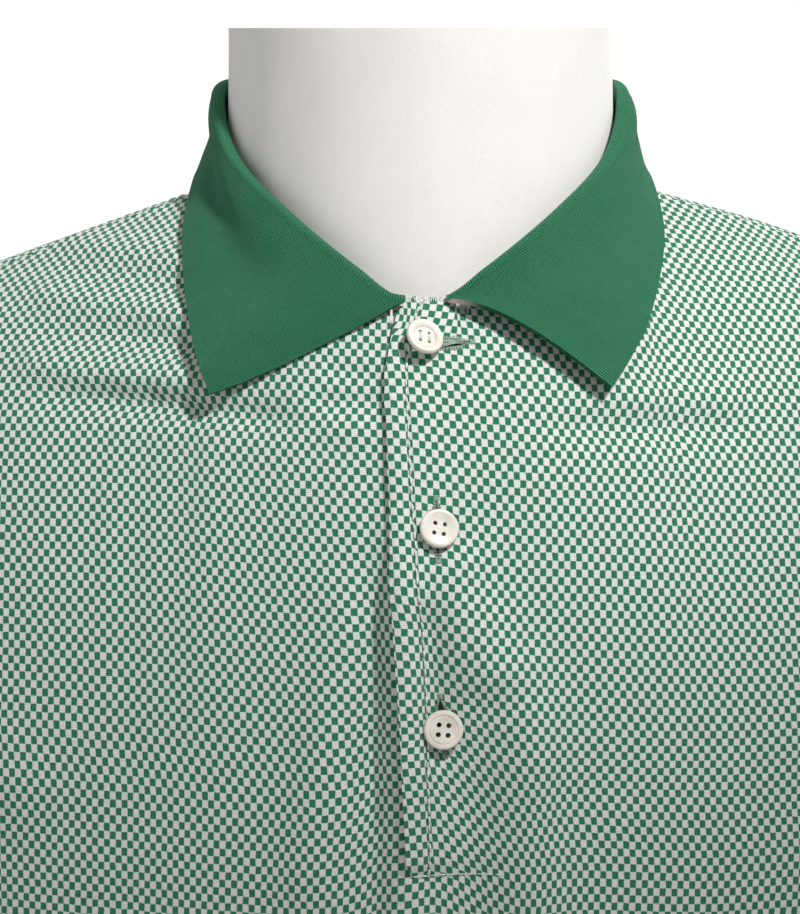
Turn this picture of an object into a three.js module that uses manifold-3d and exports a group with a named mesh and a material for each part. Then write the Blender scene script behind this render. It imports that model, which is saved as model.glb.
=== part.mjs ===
// Polo shirt on a limbless dress form
// Millimetres, +Z up, the front faces -Y. The origin is the middle of the form's flat base.
// Left and right are the wearer's, so the left sleeve hangs at +X.
import * as THREE from 'three';
import { mergeVertices } from 'three/addons/utils/BufferGeometryUtils.js';
import Module from 'manifold-3d';

// Cloth and seams
const cloth = 1.3;
const collarCloth = 1.8;
const placketCloth = 2.0;
const seamGap = 0.3;

// Heights and widths of the shirt
const hemZ = 28;
const armpitZ = 508;
const sideSeamY = 4;
const neckline = {
  halfWidth: 65, centreY: -3, front: 69, back: 61, frontZ: 715.6, sideZ: 745.5, backZ: 756,
};
const shoulderTip = { x: 225, y: -2, z: 686 };
const placket = {
  halfWidth: 12.7, underLap: 1.5, bottomAt: 0.2, topAt: 0.9887, drawnIn: 5.3, drawnFrom: 0.86,
};

// Sleeves, cuff to shoulder
const sleeve = {
  length: 228, tilt: 33, cuffHalfWidth: 70, cuffHalfDepth: 38, armpitClear: 2.8, handle: 0.36,
};
// The way the sleeve leaves the armhole, at the armpit and at the shoulder tip
const sleeveLeaves = { armpit: { x: 0.4, z: -0.92 }, shoulder: { x: 0.9, z: -0.42 } };

// Dress form
const form = {
  topZ: 795, neckHalfWidth: 59.1, neckFront: 62, neckBack: 56, neckRise: 16, armSwell: 12,
  shoulderGap: 0.8, bodyGap: 26, sideGap: 34, placketGap: 5.6,
};

// Buttons
const button = {
  radius: 5.7, thick: 2.4, rim: 1.15, well: 0.55, holeRadius: 0.75, holeSpread: 1.35, seat: 0.3,
};
const buttonSides = 20;

const materials = {
  knit: { color: 0x8fae98, roughness: 0.9 },
  collar: { color: 0x2f7f55, roughness: 0.92 },
  button: { color: 0xeeebe0, roughness: 0.3 },
  form: { color: 0xe9e0da, roughness: 0.85 },
};

// Horizontal sections below the arms. Depths are measured from the line of the side seams.
const bodyRings = [
  { z: 0, halfWidth: 199, front: 105, back: 112 },
  { z: 28, halfWidth: 199, front: 104, back: 112 },
  { z: 160, halfWidth: 194, front: 99, back: 107 },
  { z: 300, halfWidth: 190, front: 95, back: 102 },
  { z: 430, halfWidth: 196, front: 97, back: 106 },
  { z: 508, halfWidth: 205, front: 106.5, back: 114 },
];
const ringPower = { front: 1.8, back: 2.1 };

// Columns above the armpits, from the centre (at 0) past the neck point (0.5) to the armhole (1).
// Each is a curve from its foot on the armpit ring to its head at the neckline or shoulder seam.
const columns = {
  front: [
    { at: 0, footX: 0, footSide: 0, footOut: 12, footUp: 72, headSide: 0, headOut: 36, headDown: 49 },
    { at: 0.25, footX: 50, footSide: 0, footOut: 13, footUp: 76, headSide: 2, headOut: 48, headDown: 40 },
    { at: 0.5, footX: 92, footSide: 0, footOut: 12, footUp: 88, headSide: 8, headOut: 84, headDown: 45 },
    { at: 0.75, footX: 150, footSide: 2, footOut: 20, footUp: 78, headSide: -2, headOut: 62, headDown: 30 },
    { at: 1, footX: 205, footSide: -12, footOut: 64, footUp: 22, headSide: -24, headOut: 60, headDown: 26 },
  ],
  back: [
    { at: 0, footX: 0, footSide: 0, footOut: 10, footUp: 80, headSide: 0, headOut: 42, headDown: 50 },
    { at: 0.25, footX: 50, footSide: 0, footOut: 11, footUp: 82, headSide: 2, headOut: 50, headDown: 30 },
    { at: 0.5, footX: 95, footSide: 0, footOut: 14, footUp: 100, headSide: 16, headOut: 46, headDown: 0 },
    { at: 0.75, footX: 152, footSide: 2, footOut: 20, footUp: 90, headSide: -2, headOut: 42, headDown: -16 },
    { at: 1, footX: 205, footSide: -16, footOut: 66, footUp: 24, headSide: -22, headOut: 44, headDown: -6 },
  ],
};

// The front hangs a little askew: its middle drifts to the wearer's left going down.
const drift = [
  { z: 0, x: 0 },
  { z: 300, x: 6 },
  { z: 508, x: 9.4 },
  { z: 716, x: 1.9 },
  { z: 756, x: 0 },
];
const driftReach = 120;

// The cloth stands a little off the wearer's left shoulder.
const shoulderLift = { x: 115, reach: 38, rise: 3.5 };

// The largest folds: soft ridges from one point of a panel to another, seen from the front (x, z).
const folds = {
  front: [
    { fromX: 12, fromZ: 640, toX: 30, toZ: 590, width: 14, height: 1.8 },
    { fromX: 30, fromZ: 600, toX: 40, toZ: 400, width: 15, height: 3 },
    { fromX: -16, fromZ: 620, toX: -48, toZ: 400, width: 18, height: 2.2 },
    { fromX: -168, fromZ: 500, toX: -112, toZ: 300, width: 22, height: 5 },
    { fromX: 170, fromZ: 495, toX: 120, toZ: 320, width: 22, height: 4 },
    { fromX: -120, fromZ: 260, toX: -132, toZ: 0, width: 30, height: 6 },
    { fromX: 52, fromZ: 330, toX: 66, toZ: 0, width: 28, height: 5 },
    { fromX: -38, fromZ: 210, toX: -30, toZ: 0, width: 24, height: 3.5 },
    { fromX: 150, fromZ: 240, toX: 156, toZ: 0, width: 26, height: 5 },
  ],
  back: [
    { fromX: -150, fromZ: 560, toX: -96, toZ: 380, width: 24, height: 5 },
    { fromX: 152, fromZ: 566, toX: 104, toZ: 390, width: 22, height: 5 },
    { fromX: -64, fromZ: 430, toX: -72, toZ: 0, width: 28, height: 7 },
    { fromX: 30, fromZ: 400, toX: 22, toZ: 0, width: 30, height: 5 },
    { fromX: 112, fromZ: 330, toX: 124, toZ: 0, width: 26, height: 6 },
    { fromX: -146, fromZ: 250, toX: -150, toZ: 0, width: 24, height: 5 },
  ],
};

// The fold line of the collar: its height at each turn from the centre front (0) to the centre back (180)
const fold = { halfWidth: 61, front: 70.5, back: 60, radius: 1.5, footClear: 1.5, minRise: 0.3 };
const foldLine = [
  { turn: 0, z: 716.5 },
  { turn: 17, z: 725.6 },
  { turn: 42.5, z: 743.3 },
  { turn: 65, z: 757.5 },
  { turn: 90, z: 775.5 },
  { turn: 125, z: 779 },
  { turn: 180, z: 782 },
];

// The outer edge of each leaf. `roll` and `lie` push the leaf out from the neck near its fold and
// near its edge, `rollUp` and `lieUp` push it up there.
const leafEdge = {
  right: [
    { turn: 4.4, x: -61.7, y: -77.6, z: 689.3, roll: 1, lie: 1, rollUp: -1, lieUp: -3 },
    { turn: 17, x: -65.3, y: -71.5, z: 698.4, roll: 1, lie: 1, rollUp: 0, lieUp: 0 },
    { turn: 36, x: -69.2, y: -54, z: 712.6, roll: 1.5, lie: 0, rollUp: 0, lieUp: 0 },
    { turn: 56, x: -72, y: -28, z: 731.8, roll: 1.5, lie: -1.5, rollUp: 0, lieUp: 0 },
    { turn: 73, x: -70.3, y: -6, z: 746.6, roll: 1, lie: -2, rollUp: 0, lieUp: 0 },
    { turn: 90, x: -68.3, y: 17, z: 751.5, roll: 0.8, lie: -0.5, rollUp: 0, lieUp: 0 },
    { turn: 125, x: -58, y: 50, z: 753, roll: 3, lie: 1, rollUp: 0, lieUp: 0 },
    { turn: 180, x: 0, y: 73, z: 750, roll: 4, lie: 1, rollUp: 0, lieUp: 0 },
  ],
  left: [
    { turn: 6.7, x: 54.6, y: -83.5, z: 691.8, roll: 3, lie: 2, rollUp: 8, lieUp: 4 },
    { turn: 17, x: 61, y: -75, z: 700, roll: 2, lie: 1, rollUp: 3, lieUp: 2 },
    { turn: 36, x: 67.5, y: -59.5, z: 711, roll: 1.5, lie: 0, rollUp: 0, lieUp: 0 },
    { turn: 56, x: 73.4, y: -30, z: 731.3, roll: 2.5, lie: -1.5, rollUp: 0, lieUp: 0 },
    { turn: 73, x: 71.8, y: -8, z: 746.5, roll: 4, lie: -2.5, rollUp: 0, lieUp: 0 },
    { turn: 90, x: 68.8, y: 16, z: 752.5, roll: 4, lie: -1, rollUp: 0, lieUp: 0 },
    { turn: 125, x: 58.5, y: 50, z: 754, roll: 4, lie: 1, rollUp: 0, lieUp: 0 },
    { turn: 180, x: 0, y: 73, z: 750, roll: 4, lie: 1, rollUp: 0, lieUp: 0 },
  ],
};
const collarTurns = [9, 14, 20, 27, 35, 44, 54, 64, 74, 84, 96, 110, 125, 140, 160];

// Buttons, from the top. The first one is tipped on its thread.
const buttons = [
  { up: 0.921, side: -3.4, nod: 8, yaw: 18 },
  { up: 0.655, side: 0.3, nod: 0, yaw: 0 },
  { up: 0.398, side: 0, nod: 0, yaw: 0 },
];

const point = (x, y, z) => new THREE.Vector3(x, y, z);
const radians = THREE.MathUtils.degToRad;
function steps(from, to, count) {
  return Array.from({ length: count + 1 }, (_, i) => from + ((to - from) * i) / count);
}

// The columns are even about the middle, so each table also gets its second row mirrored.
Object.values(columns).forEach((table) => {
  const row = table[1];
  const sides = { footX: -row.footX, footSide: -row.footSide, headSide: -row.headSide };
  table.unshift({ ...row, ...sides, at: -row.at });
});

// A smooth curve through one column of a table whose rows are ordered by `key`.
function sample(table, key, column, value) {
  const last = table.length - 1;
  const at = THREE.MathUtils.clamp(value, table[0][key], table[last][key]);
  let i = 0;
  while (i < last - 1 && table[i + 1][key] < at) i += 1;
  const slope = (a, b) => (table[b][column] - table[a][column]) / (table[b][key] - table[a][key]);
  const tangent = (k) => slope(Math.max(k - 1, 0), Math.min(k + 1, last));
  const span = table[i + 1][key] - table[i][key];
  const t = (at - table[i][key]) / span;
  const rise = table[i + 1][column] - table[i][column];
  const start = tangent(i) * span;
  const end = tangent(i + 1) * span;
  const bend = start + end - 2 * rise;
  return table[i][column] + t * (start + t * (3 * rise - 2 * start - end + t * bend));
}

function curvePoint(a, b, c, d, t) {
  return new THREE.CubicBezierCurve3(a, b, c, d).getPoint(t);
}

// Neckline and shoulder seam of one panel on the wearer's left, from the centre outwards.
function headPoint(panel, at) {
  const neckPoint = point(neckline.halfWidth, neckline.centreY, neckline.sideZ);
  if (at > 0.5) {
    return neckPoint.lerp(point(shoulderTip.x, shoulderTip.y, shoulderTip.z), (at - 0.5) / 0.5);
  }
  const turn = at * Math.PI;
  const depth = panel === 'front' ? -neckline.front : neckline.back;
  const centreZ = panel === 'front' ? neckline.frontZ : neckline.backZ;
  neckPoint.x = neckline.halfWidth * Math.sin(turn);
  neckPoint.y = neckline.centreY + depth * Math.cos(turn);
  neckPoint.z = neckline.sideZ + (centreZ - neckline.sideZ) * Math.cos(turn);
  return neckPoint;
}

function ringPoint(panel, z, turn) {
  const power = 2 / ringPower[panel];
  const side = panel === 'front' ? -1 : 1;
  const x = sample(bodyRings, 'z', 'halfWidth', z) * Math.sin(turn) ** power;
  const y = sideSeamY + side * sample(bodyRings, 'z', panel, z) * Math.max(Math.cos(turn), 0) ** power;
  return point(x, y, z);
}

// A panel without its folds. `across` runs from -1 to 1 between the side
// seams or armholes, `up` from -1 at the hem past 0 at the armpits to 1 at the neckline or shoulder.
function smoothPoint(panel, across, up) {
  const at = Math.min(Math.abs(across), 1);
  const table = columns[panel];
  const read = (column) => sample(table, 'at', column, at);
  const halfWidth = sample(bodyRings, 'z', 'halfWidth', armpitZ);
  const turn = Math.asin(Math.min(read('footX') / halfWidth, 1) ** (ringPower[panel] / 2));
  const place = ringPoint(panel, armpitZ + Math.min(up, 0) * (armpitZ - hemZ), turn);
  if (up > 0) {
    const out = panel === 'front' ? -1 : 1;
    const head = headPoint(panel, at);
    const lower = place.clone().add(point(read('footSide'), out * read('footOut'), read('footUp')));
    const upper = head.clone().add(point(read('headSide'), out * read('headOut'), -read('headDown')));
    place.copy(curvePoint(place, lower, upper, head, up));
  }
  if (across < 0) place.x = -place.x;
  const nearMiddle = Math.exp(-((place.x / driftReach) ** 2));
  if (panel === 'front') place.x += nearMiddle * sample(drift, 'z', 'x', place.z);
  return place;
}

// Height of the folds of a panel over its smooth surface.
function foldHeight(panel, place) {
  return folds[panel].reduce((sum, ridge) => {
    const runX = ridge.toX - ridge.fromX;
    const runZ = ridge.toZ - ridge.fromZ;
    const share = ((place.x - ridge.fromX) * runX + (place.z - ridge.fromZ) * runZ) / (runX ** 2 + runZ ** 2);
    const along = THREE.MathUtils.clamp(share, 0, 1);
    const away = Math.hypot(place.x - ridge.fromX - along * runX, place.z - ridge.fromZ - along * runZ);
    const swell = THREE.MathUtils.smoothstep(along, 0, 0.35);
    return sum + ridge.height * swell * Math.exp(-((away / ridge.width) ** 2));
  }, 0);
}

// Middle of the cloth of a panel as it hangs on the form.
function panelPoint(panel, across, up) {
  const place = smoothPoint(panel, across, up);
  const facing = Math.atan2(place.x, Math.abs(place.y - sideSeamY));
  const height = foldHeight(panel, place) * (1 - Math.min(Math.abs(across), 1) ** 8);
  const side = panel === 'front' ? -1 : 1;
  place.add(point(height * Math.sin(facing), side * height * Math.cos(facing), 0));
  const nearShoulder = Math.exp(-(((place.x - shoulderLift.x) / shoulderLift.reach) ** 2));
  place.z += shoulderLift.rise * nearShoulder * THREE.MathUtils.smoothstep(up, 0.5, 1);
  return place;
}

const frontSurface = (u, v) => panelPoint('front', u, v);
const backSurface = (u, v) => panelPoint('back', -u, v);

// Unit normal of a surface, on the side that the cloth shows.
function normalOf(surface, u, v) {
  const step = 0.002;
  const alongU = surface(u + step, v).sub(surface(u - step, v));
  const alongV = surface(u, Math.min(v + step, 1)).sub(surface(u, v - step));
  return alongU.cross(alongV).normalize();
}

// Rows of points on a surface, with their normals.
function gridOf(surface, us, vs) {
  return vs.map((v) => us.map((u) => ({ at: surface(u, v), normal: normalOf(surface, u, v) })));
}

// Draws the chosen edges of a grid in, so that two walls that meet there stay a seam gap apart.
function trimmed(grid, edges) {
  const pull = (from, to) => from.at.add(to.at.clone().sub(from.at).setLength(seamGap));
  const top = grid.length - 1;
  const end = grid[0].length - 1;
  if (edges.includes('ends')) {
    grid.forEach((row) => {
      pull(row[0], row[1]);
      pull(row[end], row[end - 1]);
    });
  }
  if (edges.includes('top')) grid[top].forEach((cell, i) => pull(cell, grid[top - 1][i]));
  return grid;
}

// A closed wall of cloth through a grid: an outer and an inner face, with every free edge closed.
function wall(grid, thick, { loop = false, present = () => true } = {}) {
  const rows = grid.length;
  const count = grid[0].length;
  const wide = loop ? count : count - 1;
  const positions = [];
  const index = [];
  const numbers = new Map();
  const vertex = (r, c, side) => {
    const key = `${r} ${c % count} ${side}`;
    if (!numbers.has(key)) {
      const cell = grid[r][c % count];
      const place = cell.at.clone().addScaledVector(cell.normal, (side * thick) / 2);
      numbers.set(key, positions.length / 3);
      positions.push(place.x, place.y, place.z);
    }
    return numbers.get(key);
  };
  const quad = (a, b, c, d) => index.push(a, b, c, a, c, d);
  const has = (r, c) => {
    const column = loop ? (c + count) % count : c;
    return r >= 0 && r < rows - 1 && column >= 0 && column < wide && present(r, column);
  };
  for (let r = 0; r < rows - 1; r += 1) {
    for (let c = 0; c < wide; c += 1) {
      if (!has(r, c)) continue;
      const outer = [vertex(r, c, 1), vertex(r, c + 1, 1), vertex(r + 1, c + 1, 1), vertex(r + 1, c, 1)];
      const inner = [vertex(r, c, -1), vertex(r, c + 1, -1), vertex(r + 1, c + 1, -1), vertex(r + 1, c, -1)];
      quad(...outer);
      quad(inner[0], inner[3], inner[2], inner[1]);
      const neighbours = [has(r - 1, c), has(r, c + 1), has(r + 1, c), has(r, c - 1)];
      neighbours.forEach((joined, k) => {
        const next = (k + 1) % 4;
        if (!joined) quad(outer[k], inner[k], inner[next], outer[next]);
      });
    }
  }
  return solid(positions, index);
}

function solid(positions, index) {
  const geometry = new THREE.BufferGeometry();
  geometry.setAttribute('position', new THREE.Float32BufferAttribute(positions, 3));
  geometry.setIndex(index);
  return geometry;
}

const polo = new THREE.Group();

function addPiece(name, geometry, finish) {
  geometry.computeVertexNormals();
  const mesh = new THREE.Mesh(geometry, new THREE.MeshStandardMaterial(materials[finish]));
  mesh.name = name;
  polo.add(mesh);
}

// Where a panel is `x` from its middle along the neckline.
const acrossAt = (x) => Math.asin(x / neckline.halfWidth) / Math.PI;

const lowerRows = steps(-1, 0, 9).slice(0, -1);
const frontRows = [0, 0.1, 0.2, 0.3, 0.4, 0.5, 0.6, 0.7, 0.79, 0.87, 0.94, 1];
const backRows = [0, 0.12, 0.24, 0.36, 0.48, 0.6, 0.7, 0.8, 0.88, 0.94, 0.975, 1];

// Front, with the slit that the placket fills
function buildFront() {
  const slitLeft = -acrossAt(placket.halfWidth - placket.underLap);
  const slitRight = acrossAt(placket.halfWidth + seamGap);
  const outward = (from) => [...steps(from, 0.5, 5).slice(1), ...steps(0.5, 1, 6).slice(1)];
  const us = [
    ...outward(-slitLeft).map((u) => -u).reverse(),
    slitLeft, (slitLeft + slitRight) / 2, slitRight,
    ...outward(slitRight),
  ];
  const vs = [...lowerRows, ...frontRows];
  const grid = trimmed(gridOf(frontSurface, us, vs), ['ends', 'top']);
  const slitFoot = vs.indexOf(placket.bottomAt);
  const slitStart = us.indexOf(slitLeft);
  const present = (r, c) => r < slitFoot || c < slitStart || c > slitStart + 1;
  addPiece('front', wall(grid, cloth, { present }), 'knit');
}

function buildBack() {
  const half = [...steps(0, 0.5, 5), ...steps(0.5, 1, 6).slice(1)];
  const us = [...half.slice(1).map((u) => -u).reverse(), ...half];
  const grid = trimmed(gridOf(backSurface, us, [...lowerRows, ...backRows]), ['ends', 'top']);
  addPiece('back', wall(grid, cloth), 'knit');
}

// The placket: the upper side laps over the wearer's right front, and lies flush on the left
const placketRows = [
  placket.bottomAt + 0.003,
  ...frontRows.filter((v) => v > placket.bottomAt && v < placket.topAt),
  placket.topAt,
];
const placketStep = (cloth + placketCloth) / 2 + seamGap * 1.5;

function liftedFront(x, v, lift) {
  const u = acrossAt(x);
  return frontSurface(u, v).addScaledVector(normalOf(frontSurface, u, v), lift);
}

// The free edge draws in towards the top.
function freeEdge(v) {
  const share = Math.max(0, (v - placket.drawnFrom) / (1 - placket.drawnFrom));
  return -placket.halfWidth + placket.drawnIn * share ** 1.5;
}

function upperPlacket(u, v) {
  const x = THREE.MathUtils.lerp(freeEdge(v), placket.halfWidth, u);
  const lapped = (placket.halfWidth - x) / (2 * placket.halfWidth);
  const flush = (cloth - placketCloth) / 2;
  return liftedFront(x, v, THREE.MathUtils.lerp(flush, placketStep, lapped));
}

function underPlacket(u, v) {
  const left = -placket.halfWidth + placket.underLap + seamGap;
  const x = THREE.MathUtils.lerp(left, placket.halfWidth - placket.underLap, u);
  const lapped = (placket.halfWidth - x) / (2 * placket.halfWidth);
  const flush = (cloth - placketCloth) / 2;
  return liftedFront(x, v, THREE.MathUtils.lerp(flush, placketStep, lapped) - placketCloth - seamGap * 1.5);
}

function buildPlackets() {
  const us = steps(0, 1, 4);
  addPiece('placket_over', wall(gridOf(upperPlacket, us, placketRows), placketCloth), 'knit');
  addPiece('placket_under', wall(gridOf(underPlacket, us, placketRows), placketCloth), 'knit');
}

// Sleeves: a tube from the armhole to the cuff, hanging empty
function armholeLoop() {
  const front = [...frontRows].reverse().map((v) => ({ panel: 'front', v }));
  const back = backRows.slice(1, -1).map((v) => ({ panel: 'back', v }));
  return [...front, ...back];
}

function sleeveGrid() {
  const tilt = radians(sleeve.tilt);
  const along = point(Math.sin(tilt), 0, -Math.cos(tilt));
  const over = point(Math.cos(tilt), 0, Math.sin(tilt));
  const tip = point(shoulderTip.x, shoulderTip.y, shoulderTip.z);
  const cuff = tip.clone().addScaledVector(along, sleeve.length).addScaledVector(over, -sleeve.cuffHalfWidth);
  const loop = armholeLoop();
  const frontCount = frontRows.length - 1;
  const down = [0, 0.05, 0.16, 0.3, 0.46, 0.62, 0.78, 0.9, 1];
  return down.map((t) => loop.map(({ panel, v }, k) => {
    const start = panelPoint(panel, 1, v);
    const height = (start.z - armpitZ) / (shoulderTip.z - armpitZ);
    const { armpit, shoulder } = sleeveLeaves;
    const leaves = (axis) => THREE.MathUtils.lerp(armpit[axis], shoulder[axis], height);
    const away = point(leaves('x'), 0, leaves('z')).normalize();
    start.addScaledVector(away, THREE.MathUtils.lerp(sleeve.armpitClear, seamGap * 2, height));
    const backCount = loop.length - frontCount;
    const share = k <= frontCount ? k / frontCount : 1 + (k - frontCount) / backCount;
    const turn = share * Math.PI;
    const end = cuff.clone().addScaledVector(over, sleeve.cuffHalfWidth * Math.cos(turn));
    end.y -= sleeve.cuffHalfDepth * Math.sin(turn);
    const reach = sleeve.handle * start.distanceTo(end);
    const lower = start.clone().addScaledVector(away, reach);
    return curvePoint(start, lower, end.clone().addScaledVector(along, -reach), end, t);
  }));
}

// Turns rows of points round a loop into cells with normals.
function loopCells(rows) {
  const count = rows[0].length;
  return rows.map((row, r) => row.map((at, c) => {
    const above = rows[Math.max(r - 1, 0)][c];
    const below = rows[Math.min(r + 1, rows.length - 1)][c];
    const round = row[(c + 1) % count].clone().sub(row[(c + count - 1) % count]);
    return { at, normal: round.cross(below.clone().sub(above)).normalize() };
  }));
}

function buildSleeves() {
  const rows = sleeveGrid();
  addPiece('sleeve_left', wall(loopCells(rows), cloth, { loop: true }), 'knit');
  const mirrored = rows.map((row) => row.map((p) => point(-p.x, p.y, p.z)).reverse());
  addPiece('sleeve_right', wall(loopCells(mirrored), cloth, { loop: true }), 'knit');
}

// Collar: one knitted strip that stands on the neckline, rolls over and falls as two leaves
function collarPoint(side, turn, w) {
  const ring = side === 'left' ? 1 : -1;
  const angle = radians(turn);
  const at = Math.min(turn, 180 - turn) / 180;
  const foot = turn <= 90 ? panelPoint('front', ring * at, 1) : panelPoint('back', ring * at, 1);
  foot.z += fold.footClear;
  const depth = turn <= 90 ? -fold.front : fold.back;
  const spread = Math.abs(Math.cos(angle));
  const out = point(ring * Math.sin(angle), -Math.cos(angle), 0);
  const top = point(ring * fold.halfWidth * Math.sin(angle), neckline.centreY + depth * spread, 0);
  top.z = Math.max(sample(foldLine, 'turn', 'z', turn), foot.z + fold.radius + fold.minRise);
  const centre = top.clone().addScaledVector(out, fold.radius);
  centre.z -= fold.radius;
  const rollStart = centre.clone().addScaledVector(out, -fold.radius);
  const rollEnd = centre.clone().addScaledVector(out, fold.radius);
  if (w <= 1) return foot.lerp(rollStart, w);
  if (w <= 2) {
    const bend = (2 - w) * Math.PI;
    centre.addScaledVector(out, fold.radius * Math.cos(bend));
    centre.z += fold.radius * Math.sin(bend);
    return centre;
  }
  const edge = (column) => sample(leafEdge[side], 'turn', column, turn);
  const end = point(edge('x'), edge('y'), edge('z'));
  const upper = rollEnd.clone().lerp(end, 0.3).addScaledVector(out, edge('roll'));
  const lower = rollEnd.clone().lerp(end, 0.7).addScaledVector(out, edge('lie'));
  upper.z += edge('rollUp');
  lower.z += edge('lieUp');
  return curvePoint(rollEnd, upper, lower, end, w - 2);
}

function buildCollar() {
  const ends = { left: leafEdge.left[0].turn, right: leafEdge.right[0].turn };
  const round = [
    ...[ends.right, ...collarTurns, 180].map((turn) => ({ side: 'right', turn })),
    ...[ends.left, ...collarTurns].reverse().map((turn) => ({ side: 'left', turn })),
  ];
  const width = [0, 0.35, 0.7, 1, 1.25, 1.5, 1.75, 2, 2.12, 2.27, 2.45, 2.63, 2.82, 3];
  const nudge = 0.5;
  const grid = width.map((w) => round.map(({ side, turn }) => {
    const ring = side === 'left' ? 1 : -1;
    const before = collarPoint(side, Math.min(turn - ring * -nudge, 180), w);
    const after = collarPoint(side, Math.min(turn - ring * nudge, 180), w);
    const alongTurn = turn === 180 ? point(1, 0, 0) : after.sub(before);
    const fine = 0.01;
    const below = collarPoint(side, turn, Math.max(w - fine, 0));
    const rise = collarPoint(side, turn, Math.min(w + fine, 3)).sub(below);
    return { at: collarPoint(side, turn, w), normal: alongTurn.cross(rise).normalize() };
  }));
  addPiece('collar', wall(grid, collarCloth), 'collar');
}

// Dress form: it follows the inside of the shirt and rises into a plain neck with a flat top
const formFoot = -armpitZ / (armpitZ - hemZ);

function formPoint(panel, across, up) {
  const side = panel === 'front' ? 1 : -1;
  const surface = (u, v) => smoothPoint(panel, side * u, v);
  const u = side * across;
  const at = Math.abs(across);
  const settle = THREE.MathUtils.smoothstep(up, -0.1, 0.9);
  const lap = panel === 'front' ? form.placketGap * THREE.MathUtils.smoothstep(0.45 - at, 0, 0.4) : 0;
  const near = cloth / 2 + form.shoulderGap + lap;
  const gap = THREE.MathUtils.lerp(THREE.MathUtils.lerp(form.bodyGap, form.sideGap, at), near, settle);
  return surface(u, up).addScaledVector(normalOf(surface, u, up), -gap);
}

function buildForm() {
  const positions = [];
  const index = [];
  const triangle = (a, b, c) => {
    [a, b, c].forEach((p) => {
      index.push(positions.length / 3);
      positions.push(p.x, p.y, p.z);
    });
  };
  const skin = (rows, loop) => {
    const count = rows[0].length;
    for (let r = 0; r < rows.length - 1; r += 1) {
      for (let c = 0; c < (loop ? count : count - 1); c += 1) {
        const next = (c + 1) % count;
        triangle(rows[r][c], rows[r][next], rows[r + 1][next]);
        triangle(rows[r][c], rows[r + 1][next], rows[r + 1][c]);
      }
    }
  };
  const cap = (ring, centre) => ring.forEach((p, c) => triangle(p, ring[(c + 1) % ring.length], centre));
  const half = [...steps(0, 0.5, 5), ...steps(0.5, 1, 6).slice(1)];
  const us = [...half.slice(1).map((u) => -u).reverse(), ...half];
  const lower = steps(formFoot, 0, 7).slice(0, -1);
  const upper = { front: frontRows, back: backRows };
  // Both panels meet at the sides and shoulders, so those points are shared.
  const shared = (panel, u, v) => {
    const p = formPoint(panel, u, v);
    const onSeam = v === 1 ? Math.abs(u) >= 0.5 : Math.abs(u) === 1 && v <= 0;
    if (onSeam) p.add(formPoint(panel === 'front' ? 'back' : 'front', u, v)).multiplyScalar(0.5);
    if (v === formFoot) p.z = 0;
    return p;
  };
  const rowsOf = (panel, vs) => vs.map((v) => us.map((u) => shared(panel, u, v)));
  const flip = (rows) => rows.map((row) => [...row].reverse());
  skin(rowsOf('front', [...lower, ...upper.front]), false);
  skin(flip(rowsOf('back', [...lower, ...upper.back])), false);

  const foot = [
    ...us.map((u) => shared('front', u, formFoot)),
    ...us.slice(1, -1).reverse().map((u) => shared('back', u, formFoot)),
  ];
  cap([...foot].reverse(), point(0, sideSeamY, 0));

  const neckUs = us.filter((u) => Math.abs(u) <= 0.5);
  const neckFoot = [
    ...neckUs.map((u) => ({ p: shared('front', u, 1), turn: u * Math.PI, depth: form.neckFront })),
    ...neckUs.slice(1, -1).reverse().map((u) => ({
      p: shared('back', u, 1), turn: Math.PI - u * Math.PI, depth: form.neckBack,
    })),
  ];
  const neckRows = [0, 0.08, 0.2, 0.4, 0.7, 1].map((t) => neckFoot.map(({ p, turn, depth }) => {
    const x = form.neckHalfWidth * Math.sin(turn);
    const y = neckline.centreY - depth * Math.cos(turn);
    const bend = point(THREE.MathUtils.lerp(p.x, x, 0.75), THREE.MathUtils.lerp(p.y, y, 0.75), p.z + 4);
    return curvePoint(p, bend, point(x, y, p.z + form.neckRise), point(x, y, form.topZ), t);
  }));
  skin(neckRows, true);
  cap(neckRows[neckRows.length - 1], point(0, neckline.centreY, form.topZ));

  [1, -1].forEach((side) => {
    const rim = [
      ...[...upper.front].reverse().map((v) => shared('front', side, v)),
      ...upper.back.slice(1, -1).map((v) => shared('back', side, v)),
    ];
    const centre = rim.reduce((sum, p) => sum.add(p), point(0, 0, 0)).divideScalar(rim.length);
    const rows = [0, 0.25, 0.6].map((t) => rim.map((p) => {
      const q = p.clone().lerp(centre, t);
      q.x += side * form.armSwell * t * (2 - t);
      return q;
    }));
    const crown = centre.clone().add(point(side * form.armSwell, 0, 0));
    const ordered = side > 0 ? rows : flip(rows);
    skin(ordered, true);
    cap(ordered[ordered.length - 1], crown);
  });
  addPiece('dress_form', mergeVertices(solid(positions, index), 1e-3), 'form');
}

// Buttons: a turned disc with a rim and a well, cut through by four thread holes
const wasm = await Module();
wasm.setup();

function toManifold(geometry) {
  const bare = geometry.clone();
  bare.deleteAttribute('normal');
  bare.deleteAttribute('uv');
  const merged = mergeVertices(bare, 1e-5);
  const triVerts = new Uint32Array(merged.index.array);
  const vertProperties = merged.attributes.position.array;
  return new wasm.Manifold(new wasm.Mesh({ numProp: 3, vertProperties, triVerts }));
}

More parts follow.
